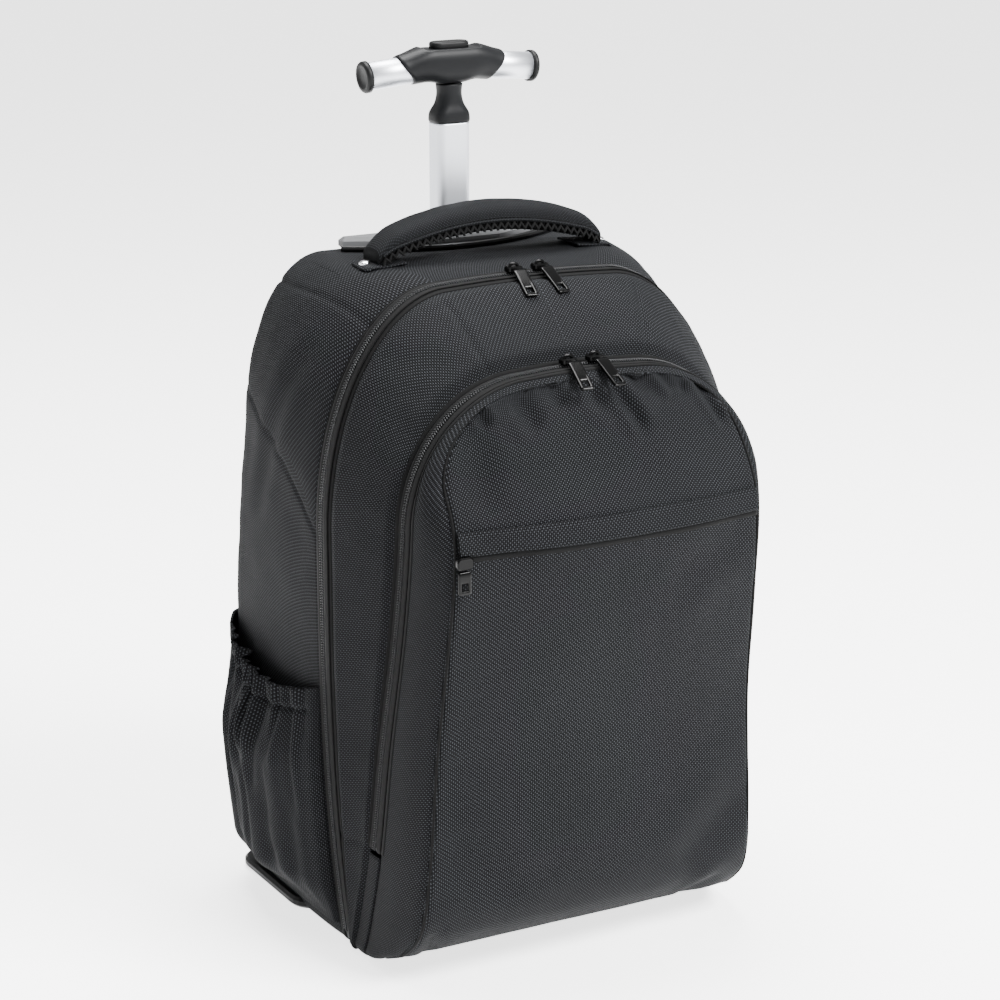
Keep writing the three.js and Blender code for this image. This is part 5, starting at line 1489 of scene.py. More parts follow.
def add_handle_tab(label, side):
    u, v = shares_of("tab")
    corner = 1 - TAB_CORNER * smooth((u - 0.72) / 0.28) * np.abs(v) ** 4
    x = lerp(TAB_REACH[0] - TAB_TUCK, TAB_REACH[1], u * corner)
    y = HANDLE_Y + TAB_HALF * v * (1 - TAB_TAPER * u**3)
    z = np.vectorize(top_at)(x, y) + TAB_SEAT + TAB_CLOTH
    z = z + TAB_CROWN * bell(u, 0.25) + ripple("tab", x, y)
    edge = np.minimum(1 - np.abs(v), 1 - u)
    z = z - TAB_EDGE * bell(edge, 0.05)
    points = np.stack([x * side, y, z], -1)
    weave = np.stack([x, y], -1)
    sign = 1 if grid_normals(points, False)[..., 2].mean() > 0 else -1
    tab = cloth_sheet(f"grab_tab_{label}", points, weave, CLOTH_WEAVE, thickness=TAB_CLOTH, inward=sign)
    finish_piece(tab, replaces=[f"handle_tab_{label}"])


def lathe(name, profile, axis, centre, material, sides=48):
    """A turned solid: profile holds (place along the axis, radius), closed at both ends"""
    profile = np.array(profile, float)
    axis = unit(axis)
    first = unit(np.cross(axis, (0, 1.0, 0)))
    second = np.cross(axis, first)
    angles = round_angles(sides)[:, None]
    ring = np.cos(angles) * first + np.sin(angles) * second
    rings = np.array([np.array(centre) + axis * along + ring * radius for along, radius in profile])
    return closed_loft(name, rings, [material])


def add_rivet(label, side):
    z = float(top_at(RIVET_X, HANDLE_Y)) + TAB_SEAT + TAB_CLOTH
    turns = np.linspace(0, math.pi / 2, RIVET_STEPS)
    rise = RIVET_HEIGHT - RIVET_RIM
    profile = [(-RIVET_SUNK, RIVET_RADIUS), (RIVET_RIM, RIVET_RADIUS)]
    profile += [(RIVET_RIM + rise * math.sin(turn), RIVET_RADIUS * max(math.cos(turn), 0.05)) for turn in turns]
    lean = (RIVET_LEAN * side, 0, 1)
    rivet = lathe(f"rivet_dome_{label}", profile, lean, (RIVET_X * side, HANDLE_Y, z), RIVET_METAL, 32)
    finish_piece(rivet, replaces=[f"handle_rivet_{label}"])


# Pull handle

POST_WIDTH = 28
POST_DEPTH = 22
POST_CORNER = 6.5
POST_WALL = 1.8
POST_BOTTOM = 150
POST_TOP = 602
NECK_BOTTOM = 602.3
NECK_TOP = 631.3
NECK_WIDE = 30
NECK_NARROW = 19
NECK_PROFILE = [(0, 0), (0.25, 0.12), (0.5, 0.75), (0.75, 1), (1, 0.9)]
GRIP_BASE = 631.6
GRIP_AXIS = 646.6
GRIP_HEIGHT = 30
GRIP_FOOT = 33
GRIP_TOP = 45
GRIP_DEPTH = 29
GRIP_DROOP = math.radians(5)
GRIP_TUBE_RADIUS = 10.5
GRIP_TUBE_START = 16.5
GRIP_TUBE_END = 68.5
GRIP_CAP_RADIUS = 12
GRIP_CAP_END = 73.5
BUTTON_LENGTH = 32
BUTTON_WIDTH = 15
BUTTON_BOTTOM = 657.6
BUTTON_TOP = 663.6
NECK_SQUASH = 6
LATHE_SIDES = 64
# The button's rings: inset, height
BUTTON_PROFILE = [
    (0.4, BUTTON_BOTTOM),
    (0, BUTTON_BOTTOM + 0.5),
    (0, BUTTON_TOP - 1.6),
    (0.5, BUTTON_TOP - 0.6),
    (1.5, BUTTON_TOP - 0.1),
    (3, BUTTON_TOP),
]
# A tube of the T-grip: from its start (0) or end (1), offset along it, offset from its radius
BAR_PROFILE = [(0, 0, 0), (1, -0.2, 0), (1, 0, -0.3)]
# An end cap in the same way
CAP_PROFILE = [
    (0, 0.2, -0.8),
    (0, 0.6, 0),
    (1, -1.6, 0),
    (1, -0.5, -0.7),
    (1, 0, -2.2),
    (1, 0, -4),
    (1, -0.7, -4.6),
    (1, -0.7, -11),
]


def rounded_rectangle(width, depth, corner, steps=10):
    """Points round a rectangle with round corners, denser at the corners"""
    points = []
    for turn, (sx, sy) in enumerate(((1, 1), (-1, 1), (-1, -1), (1, -1))):
        for angle in np.linspace(0, math.pi / 2, steps) + turn * math.pi / 2:
            x = sx * (width / 2 - corner) + corner * math.cos(angle)
            y = sy * (depth / 2 - corner) + corner * math.sin(angle)
            points.append([x, y])
    return np.array(points)


def add_post():
    section = rounded_rectangle(POST_WIDTH, POST_DEPTH, POST_CORNER)
    heights = np.array([POST_BOTTOM, POST_BOTTOM + 1, POST_TOP - 1, POST_TOP])
    grid = np.array([np.column_stack([section + [0, POST_Y], np.full(len(section), z)]) for z in heights])
    sign = outward_sign(grid, (0, 1))
    post = cloth_sheet("post_tube", grid, grid[..., :2], TUBE_METAL, POST_WALL, True, sign)
    finish_piece(post, "pull_handle", replaces=["post"])


def add_neck():
    rings = []
    angles = round_angles(GRIDS["neck"][1])
    for share in np.linspace(0, 1, GRIDS["neck"][0]):
        narrow = float(curve(NECK_PROFILE, share))
        width = lerp(NECK_WIDE, NECK_NARROW, narrow)
        depth = width - NECK_SQUASH * (1 - narrow)
        power = lerp(0.55, 0.9, narrow)
        ease = 1 - 0.05 * bell(share, 0.03)
        across, along = superellipse(angles, power)
        z = lerp(NECK_BOTTOM, NECK_TOP, share)
        x = across * width / 2 * ease
        y = POST_Y + along * depth / 2 * ease
        rings.append(np.column_stack([x, y, np.full(len(angles), z)]))
    neck = closed_loft("neck_boot", np.array(rings), [GRIP_PLASTIC])
    finish_piece(neck, "pull_handle", replaces=["grip_neck"])


def add_grip():
    angles = round_angles(GRIDS["grip"][1])
    rings = []
    for u in np.linspace(-1, 1, GRIDS["grip"][0]):
        out = abs(u)
        end = smooth((out - 0.35) / 0.65)
        axis = GRIP_AXIS - GRIP_TOP * out * math.sin(GRIP_DROOP)
        top = lerp(GRIP_BASE + GRIP_HEIGHT, axis + GRIP_CAP_RADIUS + 0.3, end)
        bottom = lerp(GRIP_BASE, axis - GRIP_CAP_RADIUS + 1.5, smooth((out - 0.2) / 0.5))
        half = lerp(GRIP_DEPTH / 2, GRIP_CAP_RADIUS + 0.4, end)
        close = math.sqrt(max(1 - max((out - 0.93) / 0.07, 0) ** 2, 0))
        close = lerp(0.86, 1, close)
        power = lerp(0.72, 1.0, end)
        across, up = superellipse(angles, power)
        middle = (top + bottom) / 2
        z = middle + up * (top - bottom) / 2 * close
        y = POST_Y + across * half * close
        level = np.clip((z - GRIP_BASE) / GRIP_HEIGHT, 0, 1)
        reach = lerp(GRIP_FOOT, GRIP_TOP, smooth(level / 0.72))
        scoop = 3.2 * smooth((0.62 - out) / 0.14)
        flat = np.clip(z - (GRIP_BASE + GRIP_HEIGHT - scoop), 0, None)
        rings.append(np.column_stack([u * reach, y, z - flat]))
    grip = closed_loft("grip_shell", np.array(rings), [GRIP_PLASTIC])
    finish_piece(grip, "pull_handle", replaces=["grip_housing"])
    ring = rounded_rectangle(BUTTON_LENGTH, BUTTON_WIDTH, BUTTON_WIDTH / 2 - 0.01, 14)
    rows = []
    for inset, z in BUTTON_PROFILE:
        flat = inset_ring(ring, BUTTON_LENGTH, BUTTON_WIDTH, inset)
        rows.append(np.column_stack([flat + [0, POST_Y], np.full(len(ring), z)]))
    button = closed_loft("button_cap", np.array(rows), [BASE_PLASTIC])
    finish_piece(button, "grip_button", replaces=["grip_button"])
    for label, side in (("left", -1), ("right", 1)):
        axis = np.array([side * math.cos(GRIP_DROOP), 0, -math.sin(GRIP_DROOP)])
        centre = (0, POST_Y, GRIP_AXIS)
        start, end, cap_end = (x / math.cos(GRIP_DROOP) for x in (GRIP_TUBE_START, GRIP_TUBE_END, GRIP_CAP_END))
        bar = [((start, end)[place] + along, GRIP_TUBE_RADIUS + out) for place, along, out in BAR_PROFILE]
        made = lathe(f"bar_{label}", bar, axis, centre, BAR_METAL, LATHE_SIDES)
        finish_piece(made, "pull_handle", replaces=[f"grip_tube_{label}"])
        cap = [((end, cap_end)[place] + along, GRIP_CAP_RADIUS + out) for place, along, out in CAP_PROFILE]
        made = lathe(f"bar_end_{label}", cap, axis, centre, BASE_PLASTIC, LATHE_SIDES)
        finish_piece(made, "pull_handle", replaces=[f"grip_cap_{label}"])


# Zip pulls

SLIDER_WIDTH = 10
SLIDER_HEIGHT = 4.6
PULL_LENGTH = 29
PULL_WIDTH = 10
PULL_THICKNESS = 2.2
PULL_WINDOW = 5.5
PULL_CLEARANCE = 1.5
COIL_HEIGHT = 1.6
SLIDERS = [("left", -8, -0.1), ("right", 14, 0.1)]
PULL_FALL = 0.62
PULL_SEAT = 1.5
WINDOW_INSET = 5.6
WINDOW_CORNER = 0.7
PLATE_CORNER = 1.6
BRIDGE_RADIUS = 1.1
BRIDGE_SINK = 0.8
BRIDGE_POINTS = 14
PULL_STAND = 2.2
SLIP_PULL_LENGTH = 17
BRIDGE_SPAN = 7
BRIDGE_RISE = 2.6
# A pull across its width: share from its window to its rim, height
PLATE_PROFILE = [(0, -0.7), (0, 0.7), (0.12, 1), (0.88, 1), (1, 0.6), (1, -0.6), (0.88, -1), (0.12, -1)]


def plate_with_window(length, width, thickness, window, centre):
    """A flat plate with rounded edges and one window, as rings round the window"""
    outline = rounded_rectangle(width, length, PLATE_CORNER, 8) + [0, length / 2]
    hole = rounded_rectangle(window, window, WINDOW_CORNER, 8) + [0, centre]
    rows = []
    for share, high in PLATE_PROFILE:
        flat = hole + (outline - hole) * share
        rows.append(np.column_stack([flat, np.full(len(flat), high * thickness / 2)]))
    return np.array(rows)


def add_pull(name, start, along, down, node, length=PULL_LENGTH):
    out = np.cross(along, down)
    rings = plate_with_window(length, PULL_WIDTH, PULL_THICKNESS, PULL_WINDOW, length - WINDOW_INSET)
    axes = np.stack([along, down, out], 1)
    pull = ring_solid(name, rings @ axes.T + start, ENAMEL)
    finish_piece(pull, replaces=[node])


def add_bridge(name, base, across, out):
    """The small arch on a slider that its pull hangs from"""
    turn = np.linspace(0, math.pi, BRIDGE_POINTS)[:, None]
    along = -np.cos(turn) * BRIDGE_SPAN / 2
    high = np.sin(turn) * BRIDGE_RISE - BRIDGE_SINK
    path = base + np.array(across) * along + np.array(out) * high
    finish_piece(tube(name, path, BRIDGE_RADIUS, ENAMEL))


def add_pulls():
    pairs = (("main_zip", 0, ZIP_ARCH_HEIGHT), ("pocket_zip", -POCKET_ARCH_REACH, POCKET_HEIGHT))
    for zip_name, y, height in pairs:
        top = height + ZIP_ARCH_CROWN + COIL_HEIGHT + SEAT
        for label, x, lean in SLIDERS:
            start = np.array([x, y - SLIDER_WIDTH / 2 - SEAT - PULL_THICKNESS, top + PULL_CLEARANCE])
            down = unit((lean, -1, -PULL_FALL))
            along = unit(np.cross(down, (0, 0, 1)))
            out = np.cross(along, down)
            start = start + out * (PULL_STAND if out[2] > 0 else -PULL_STAND)
            base = np.array([x, y, top + SLIDER_HEIGHT])
            add_bridge(f"{zip_name}_bridge_{label}", base, (1, 0, 0), (0, 0, 1))
            add_pull(f"{zip_name}_tag_{label}", start, along, down, f"{zip_name}_{label}_pull")
    x = -PANEL_WIDTH / 2 + PULL_WIDTH / 2
    y = float(front_at(np.array(float(BAND_HEIGHT)), -1.0)) - CLOTH_SEAT - PULL_SEAT - SEAT - PULL_THICKNESS
    start = np.array([x, y, BAND_HEIGHT - SLIDER_WIDTH - SEAT])
    add_pull("slip_zip_tag", start, (1.0, 0, 0), (0, 0, -1.0), "slip_zip_pull", SLIP_PULL_LENGTH)


# Wheels

WHEEL_CENTRE = (125, 167, 27)
WHEEL_RADIUS = 27
WHEEL_WIDTH = 22
TYRE_DEPTH = 8
# A tyre's side: how far in from it, out from its radius
TYRE_EDGE = [(0, 0.3 - TYRE_DEPTH), (0, -4), (1, -1.8), (3, 0)]
# A groove of its tread: along, out from its radius
GROOVE = [(-0.9, 0), (-0.6, -1.2), (0.6, -1.2), (0.9, 0)]
GROOVE_PLACES = (-3.2, 3.2)


def ring_lathe(name, profile, centre, material, sides=72):
    """A ring turned about X: profile is a closed loop of (place along the axis, radius)"""
    profile = np.array(profile, float)
    angles = round_angles(sides)
    ring = np.stack([0 * angles, np.cos(angles), np.sin(angles)], -1)
    rings = np.array([np.array(centre) + [along, 0, 0] + ring * radius for along, radius in profile])
    return ring_solid(name, rings, material)


def add_wheel(label, side):
    centre = (WHEEL_CENTRE[0] * side, WHEEL_CENTRE[1], WHEEL_CENTRE[2])
    half = WHEEL_WIDTH / 2
    tread = [(inwards - half, WHEEL_RADIUS + out) for inwards, out in TYRE_EDGE]
    for place in GROOVE_PLACES:
        tread += [(place + along, WHEEL_RADIUS + out) for along, out in GROOVE]
    tread += [(half - inwards, WHEEL_RADIUS + out) for inwards, out in reversed(TYRE_EDGE)]
    tyre = ring_lathe(f"tread_{label}", tread, centre, RUBBER)
    finish_piece(tyre, f"wheel_{label}", replaces=[f"wheel_tyre_{label}"])


# Back cushion and shoulder straps

PAD_BOTTOM = 74
PAD_TOP = 462
PAD_HALF = 116
PAD_FOOT = 109
PAD_THICKNESS = 10
PAD_SHOULDER = 375.5
PAD_REACH = 70
PAD_HEEL = 27


def pad_half_width(z):
    """Half the back cushion's width at a height"""
    side = lerp(PAD_FOOT, PAD_HALF, smooth((z - PAD_BOTTOM) / (PAD_SHOULDER - PAD_BOTTOM)))
    high = np.clip((z - PAD_SHOULDER) / (PAD_TOP - PAD_SHOULDER), 0, 1)
    low = np.clip((PAD_BOTTOM + PAD_HEEL - z) / PAD_HEEL, 0, 1)
    return side - PAD_REACH * (1 - np.sqrt(1 - high**2)) - PAD_HEEL * (1 - np.sqrt(1 - low**2))


PAD_SWELL = 3
PAD_EDGE = 9
PAD_CHANNELS = (-38, 38)
PAD_CROSS_SEAMS = (170, 262, 354)
CROSS_SEAM_START = 36
CHANNEL_WIDTH = 3.0
CHANNEL_INSET = 14
CHANNEL_DEPTH = 3.2
SKETCHED_DEPTH = 4.2
ROLL_DEPTH = 1.6
ROLL_INSET = 10


def sewn_seams(x, z, edge):
    """1 in the back cushion's sewn channels, and 0 away from them"""
    seams = sum(bell(x - place, CHANNEL_WIDTH) for place in PAD_CHANNELS)
    aside = smooth((np.abs(x) - CROSS_SEAM_START) / 4)
    seams = seams + sum(bell(z - place, CHANNEL_WIDTH) * aside for place in PAD_CROSS_SEAMS)
    return np.clip(seams, 0, 1) * smooth((edge - CHANNEL_INSET) / 8)


def sew_channels(pad):
    """Presses the cushion's sewn channels into its outer side"""
    places = vertex_places(pad) / MM - np.array([0, SHIFT_Y, 0])
    x, y, z = places.T
    half = pad_half_width(np.clip(z, PAD_BOTTOM + 1, PAD_TOP - 1))
    edge = np.minimum(half - np.abs(x), np.minimum(PAD_TOP - z, z - PAD_BOTTOM))
    outer = smooth((y - back_at(z) - CLOTH_SEAT - 2) / 3)
    places[:, 1] -= CHANNEL_DEPTH * sewn_seams(x, z, edge) * outer
    low, high = back_at(z) + CLOTH_SEAT, back_at(z) + CLOTH_SEAT + PAD_THICKNESS + 2
    places[:, 1] = np.clip(places[:, 1], low, high)
    places = (places + np.array([0, SHIFT_Y, 0])) * MM
    pad.data.vertices.foreach_set("co", places.astype(np.float32).ravel())


SIM_VOXEL = 5
SIM_FRAMES = 20
SIM_PRESSURE = 4.0


def inflate(pad, cap):
    """Swells a pad with a cloth simulation; no point moves further than cap"""
    scene = bpy.context.scene
    bpy.context.view_layer.objects.active = pad
    remesh = pad.modifiers.new("remesh", "REMESH")
    remesh.mode = "VOXEL"
    remesh.voxel_size = SIM_VOXEL * MM
    bake_modifiers(pad)
    before = vertex_places(pad)
    cloth = pad.modifiers.new("cloth", "CLOTH")
    cloth.settings.use_pressure = True
    cloth.settings.uniform_pressure_force = SIM_PRESSURE
    cloth.settings.effector_weights.gravity = 0
    cloth.point_cache.frame_start = 1
    cloth.point_cache.frame_end = SIM_FRAMES
    for step in range(1, SIM_FRAMES + 1):
        scene.frame_set(step)
    bake_modifiers(pad)
    after = vertex_places(pad)
    scene.frame_set(1)
    moved_by = after - before
    length = np.maximum(np.linalg.norm(moved_by, axis=1, keepdims=True), 1e-9)
    after = before + moved_by / length * np.minimum(length, cap * MM)
    pad.data.vertices.foreach_set("co", after.astype(np.float32).ravel())
    divide = pad.modifiers.new("divide", "SUBSURF")
    divide.levels = divide.render_levels = 1
    bake_modifiers(pad)
    pad.data.polygons.foreach_set("use_smooth", [True] * len(pad.data.polygons))


def vertex_places(made):
    places = np.empty(len(made.data.vertices) * 3, np.float32)
    made.data.vertices.foreach_get("co", places)
    return places.reshape(-1, 3).astype(float)


def bake_modifiers(made):
    """Puts the result of an object's modifiers into its mesh, and removes them"""
    graph = bpy.context.evaluated_depsgraph_get()
    mesh = bpy.data.meshes.new_from_object(made.evaluated_get(graph))
    made.modifiers.clear()
    made.data = mesh


def weave_by_plane(made):
    """Lays a pad's weave flat along X and Z"""
    layer = made.data.attributes.get("weave") or made.data.attributes.new("weave", "FLOAT_VECTOR", "POINT")
    places = vertex_places(made)
    flat = np.stack([places[:, 0], places[:, 2], 0 * places[:, 0]], -1)
    layer.data.foreach_set("vector", flat.astype(np.float32).ravel())


def add_back_cushion():
    down, u = shares_of("cushion")
    v = lerp(PAD_TOP - 0.4, PAD_BOTTOM + 0.4, (1 - np.cos(math.pi * down)) / 2)
    x = u * pad_half_width(v)
    edge_x = (1 - np.abs(u)) * pad_half_width(v)
    edge = np.minimum(edge_x, np.minimum(PAD_TOP - v, v - PAD_BOTTOM))
    height = PAD_THICKNESS * np.sqrt(1 - (1 - np.clip(edge / PAD_EDGE, 0, 1)) ** 2)
    height = height - SKETCHED_DEPTH * sewn_seams(x, v, edge) - ROLL_DEPTH * bell(edge - ROLL_INSET, 2.4)
    height = height + ripple("cushion", x, v) * smooth(edge / 12)
    back = back_at(v) + CLOTH_SEAT
    outer = np.stack([x, back + np.maximum(height, 0.6), v], -1)
    weave = np.stack([x, v], -1)
    rows, columns = outer.shape[:2]
    flat = np.stack([x, back, v], -1)
    count = rows * columns
    faces = grid_faces(rows, columns, False) + grid_faces(rows, columns, False, start=count, turned=True)
    last = (rows - 1) * columns
    border = list(range(columns)) + [row * columns + columns - 1 for row in range(1, rows)]
    border += list(range(last + columns - 2, last - 1, -1))
    border += [row * columns for row in range(rows - 2, 0, -1)]
    for a, b in zip(border, border[1:] + border[:1]):
        faces.append([b, a, count + a, count + b])
    vertices = np.concatenate([outer.reshape(-1, 3), flat.reshape(-1, 3)])
    both = np.concatenate([weave.reshape(-1, 2)] * 2)
    pad = make_object("back_cushion", vertices, faces, PAD_MESH, both)
    inflate(pad, PAD_SWELL)
    sew_channels(pad)
    weave_by_plane(pad)
    finish_piece(pad, replaces=["back_pad"])


STRAP_TOP = 448
STRAP_BOTTOM = 190
STRAP_X = (48, 75)
STRAP_WIDTH = 58
STRAP_END_WIDTH = 0.45
STRAP_LIFT = 14.4
STRAP_THICKNESS = 9
STRAP_SWELL = 1.5
STRAP_SECTION = 0.62
STRAP_ROUND = 0.012
STRAP_SEAM = 0.9


def strap_frame(share):
    x = lerp(STRAP_X[0], STRAP_X[1], smooth(share))
    z = lerp(STRAP_TOP, STRAP_BOTTOM, share)
    near = np.clip(np.minimum(share / 0.1, (1 - share) / 0.14), 0, 1)
    ends = math.sqrt(1 - (1 - near) ** 2)
    return x, z, STRAP_WIDTH * lerp(STRAP_END_WIDTH, 1, ends)


def add_strap(label, side):
    angles = round_angles(GRIDS["strap"][1])
    rings = []
    for share in np.linspace(0, 1, GRIDS["strap"][0]):
        x, z, width = strap_frame(share)
        near = max((STRAP_ROUND - min(share, 1 - share)) / STRAP_ROUND, 0)
        close = math.sqrt(max(1 - near**2, 0.02))
        across, up = superellipse(angles, STRAP_SECTION)
        seam = STRAP_SEAM * bell(np.abs(across) - 0.86, 0.035)
        thick = STRAP_THICKNESS / 2 * close * (1 - 0.1 * np.abs(across)) - seam
        y = back_at(z) + STRAP_LIFT + STRAP_THICKNESS / 2 + up * thick
        x = x + across * width / 2 * lerp(0.9, 1, close)
        rings.append(np.column_stack([x * side, y, np.full(len(angles), z)]))
    rings = np.array(rings)
    weave = np.stack([around_lengths(rings), rings[..., 2]], -1)
    strap = closed_loft(f"strap_pad_{label}", rings, [PAD_MESH], weave=weave)
    inflate(strap, STRAP_SWELL)
    weave_by_plane(strap)
    finish_piece(strap, replaces=[f"shoulder_strap_{label}"])


WEBBING_X = 75
WEBBING_WIDTH = 25
WEBBING_TOP = 215
WEBBING_BOTTOM = 96
WEBBING_LIFT = 11.6
WEBBING_THICKNESS = 2
BUCKLE_Z = 192
BUCKLE_WIDTH = 36
BUCKLE_HEIGHT = 22
BUCKLE_CORNER = 4
BUCKLE_SEAT = 0.6
BUCKLE_RIM = 4.6
BUCKLE_BAR_RADIUS = 1.7
BUCKLE_BAR_HALF = 15
BUCKLE_BAR_PLACES = (-3.5, 3.5)
# The buckle's rim: share across it, height
BUCKLE_PROFILE = [(0, 0), (0.06, 2.6), (0.2, 3.4), (0.8, 3.4), (0.94, 2.6), (1, 0)]
# The webbing's section: across, height
WEBBING_SECTION = [(-1, -0.5), (-0.97, 0.3), (-0.9, 0.5), (0.9, 0.5), (0.97, 0.3), (1, -0.5), (0.9, -0.5), (-0.9, -0.5)]


def ribbon(name, heights, lift, side):
    """Webbing lying down the back: lift is how far it stands off the body at each height"""
    across, high = np.array(WEBBING_SECTION).T
    x = (WEBBING_X + across * WEBBING_WIDTH / 2) * side
    rings = []
    for z, out in zip(heights, lift):
        y = float(back_at(z)) + out + (0.5 + high) * WEBBING_THICKNESS
        rings.append(np.column_stack([x, y, np.full(len(x), z)]))
    rings = np.array(rings)
    weave = np.stack([rings[..., 0], rings[..., 2]], -1)
    return closed_loft(name, rings, [WEBBING], weave=weave)


def add_webbing(label, side):
    heights = np.linspace(WEBBING_TOP, WEBBING_BOTTOM, 60)
    lift = WEBBING_LIFT + ripple("webbing", heights, 0 * heights + side * 30)
    strap = ribbon(f"webbing_{label}", heights, lift, side)
    finish_piece(strap, replaces=[f"strap_webbing_{label}"])
    outline = rounded_rectangle(BUCKLE_WIDTH, BUCKLE_HEIGHT, BUCKLE_CORNER, 8)
    y = float(back_at(BUCKLE_Z)) + WEBBING_LIFT + WEBBING_THICKNESS + BUCKLE_SEAT
    rows = []
    for share, high in BUCKLE_PROFILE:
        x, z = inset_ring(outline, BUCKLE_WIDTH, BUCKLE_HEIGHT, BUCKLE_RIM * share).T
        rows.append(np.column_stack([x + WEBBING_X * side, np.full(len(x), y + high), z + BUCKLE_Z]))
    buckle = ring_solid(f"buckle_frame_{label}", np.array(rows), BASE_PLASTIC)
    finish_piece(buckle)
    along = np.linspace(-BUCKLE_BAR_HALF, BUCKLE_BAR_HALF, 12)
    for index, place in enumerate(BUCKLE_BAR_PLACES):
        path = [[WEBBING_X * side + x, y + BUCKLE_BAR_RADIUS, BUCKLE_Z + place] for x in along]
        bar = tube(f"buckle_bar_{label}_{index}", path, BUCKLE_BAR_RADIUS, BASE_PLASTIC)
        finish_piece(bar)


YOKE_TOP = 474
YOKE_BOTTOM = 436
YOKE_HALF_TOP = 84
YOKE_HALF_BOTTOM = 88
YOKE_SAG = 3
YOKE_SEAT = 2.6
YOKE_OVER_PAD = 1.2
YOKE_OVER_STRAP = 3.2
STITCH_ROW = 3
STITCH_OUT = 0.1


def add_strap_yoke():
    """The cloth that the shoulder straps are sewn under at the top of the back"""
    up, across = shares_of("yoke")
    half = lerp(YOKE_HALF_BOTTOM, YOKE_HALF_TOP, up)
    x = across * half
    z = lerp(YOKE_BOTTOM, YOKE_TOP, up) - YOKE_SAG * (1 - across**2) * (1 - up)
    over = smooth((STRAP_TOP + 2 - z) / 14)
    strap = bell((np.abs(x) - STRAP_X[0]) / 30, 0.75)
    on_pad = smooth((PAD_TOP + 3 - z) / 10) * smooth((half - np.abs(x) + 6) / 12)
    height = YOKE_SEAT + (PAD_THICKNESS + YOKE_OVER_PAD) * on_pad
    height = height + (STRAP_THICKNESS + YOKE_OVER_STRAP) * over * strap + ripple("yoke", x, z)
    points = np.stack([x, back_at(z) + height, z], -1)
    weave = np.stack([x, z], -1)
    yoke = cloth_sheet("strap_yoke", points, weave, CLOTH_WEAVE, inward=wall_sign(points, 1))
    finish_piece(yoke)
    stitch_row("yoke_stitches", points[STITCH_ROW, 4:-4] + [0, STITCH_OUT, 0], (0, 1, 0), THREAD)


for side_label, side_sign in (("left", -1), ("right", 1)):
    add_webbing(side_label, side_sign)
    add_side_pocket(f"gathered_pocket_{side_label}", side_sign, f"side_pocket_{side_label}")
    add_handle_tab(side_label, side_sign)
    add_rivet(side_label, side_sign)
    add_wheel(side_label, side_sign)
    add_strap(side_label, side_sign)
add_carry_handle()
add_post()
add_neck()
add_grip()
add_pulls()
add_back_cushion()
add_strap_yoke()

# Materials of the CAD nodes that show, by the start of their names
NODE_PAINTS = {
    "handle_bezel": BEZEL_PLASTIC,
    "bezel_trim": BASE_PLASTIC,
    "wheel_hub": HUB_PLASTIC,
    "wheel_axle": RIVET_METAL,
    "wheel_housing": BASE_PLASTIC,
    "main_zip": ENAMEL,
    "pocket_zip": ENAMEL,
    "slip_zip": ENAMEL,
    "post_sleeve": BASE_PLASTIC,
}


def paint_node(name, node):
    """Gives a CAD node that still shows its own material"""
    fitting = [key for key in NODE_PAINTS if name.startswith(key)]
    if not fitting:
        return
    paint = NODE_PAINTS[max(fitting, key=len)]
    for slot in node.material_slots:
        slot.material = paint
    if not node.material_slots:
        node.data.materials.append(paint)


for node_name, cad_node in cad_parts.items():
    paint_node(node_name, cad_node)


# Camera, floor and light

CAMERA_AT = (-1016.7, -1799.2, 923.6)
CAMERA_AZIMUTH = math.radians(-29)
CAMERA_ELEVATION = math.radians(16)
CAMERA_LENS = 102.6
SENSOR_WIDTH = 36
FLOOR_REACH = 60
FLOOR_GLOW = 2.4
WORLD_STRENGTH = 0.6
LAMP_AIM = (0, 0, 0.3)


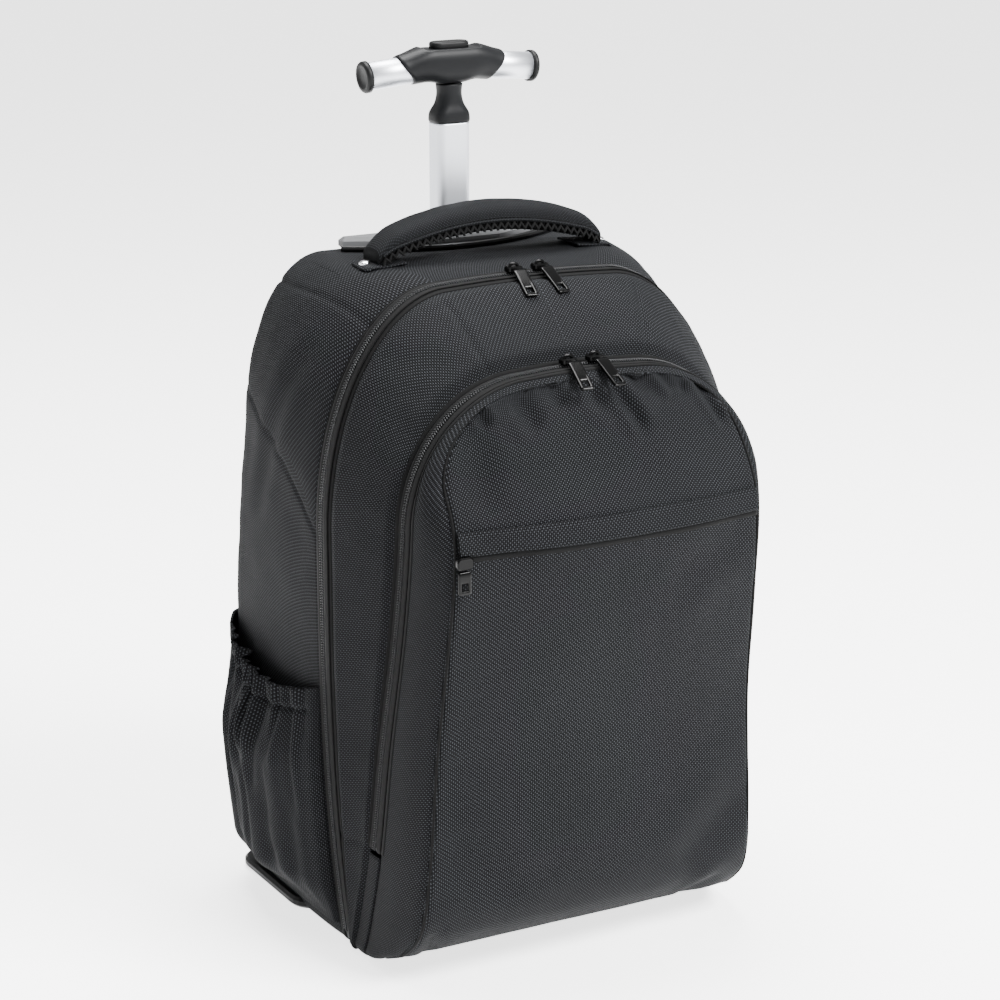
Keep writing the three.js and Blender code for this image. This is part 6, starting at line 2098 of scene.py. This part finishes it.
def add_camera():
    camera = bpy.data.objects.new("camera", bpy.data.cameras.new("camera"))
    bpy.context.scene.collection.objects.link(camera)
    camera.data.lens = CAMERA_LENS
    camera.data.sensor_width = SENSOR_WIDTH
    turn, rise = CAMERA_AZIMUTH, CAMERA_ELEVATION
    right = Vector((math.cos(turn), math.sin(turn), 0))
    back = Vector((math.sin(turn) * math.cos(rise), -math.cos(turn) * math.cos(rise), math.sin(rise)))
    up = back.cross(right)
    axes = Matrix((right, up, back)).transposed()
    camera.matrix_world = axes.to_4x4()
    place = Vector(CAMERA_AT) + Vector((0, SHIFT_Y, 0))
    camera.matrix_world.translation = place * MM
    bpy.context.scene.camera = camera


def add_floor():
    mesh = bpy.data.meshes.new("floor")
    corners = [(x * FLOOR_REACH, y * FLOOR_REACH, 0) for x, y in ((-1, -1), (1, -1), (1, 1), (-1, 1))]
    mesh.from_pydata(corners, [], [(0, 1, 2, 3)])
    floor = bpy.data.objects.new("floor", mesh)
    bpy.context.scene.collection.objects.link(floor)
    paint = Paint("floor")
    spots = paint.noise(paint.place(), 3, 2)
    paint.set(Base_Color=paint.mix(spots, gray(0.86), gray(0.9)), Roughness=0.7)
    paint.set(Emission_Color=(1, 1, 1, 1), Emission_Strength=FLOOR_GLOW)
    mesh.materials.append(paint.material)


# Lamps: place in metres, size, power
LAMPS = [
    ("key", (1.0, -1.7, 2.3), 1.1, 300),
    ("fill", (-2.0, -1.6, 1.3), 1.8, 4),
    ("top", (0.1, 0.5, 2.4), 1.3, 170),
    ("rim", (-1.6, 1.5, 1.5), 1.2, 12),
]


def add_lights():
    world = bpy.data.worlds.new("studio")
    bpy.context.scene.world = world
    world.use_nodes = True
    background = world.node_tree.nodes["Background"]
    background.inputs[0].default_value = (1, 1, 1, 1)
    background.inputs[1].default_value = WORLD_STRENGTH
    for name, place, size, power in LAMPS:
        light = bpy.data.lights.new(name, "AREA")
        light.shape = "SQUARE"
        light.size = size
        light.energy = power
        lamp = bpy.data.objects.new(name, light)
        bpy.context.scene.collection.objects.link(lamp)
        lamp.location = place
        towards = Vector(LAMP_AIM) - Vector(place)
        lamp.rotation_euler = towards.to_track_quat("-Z", "Y").to_euler()


add_camera()
add_floor()
add_lights()
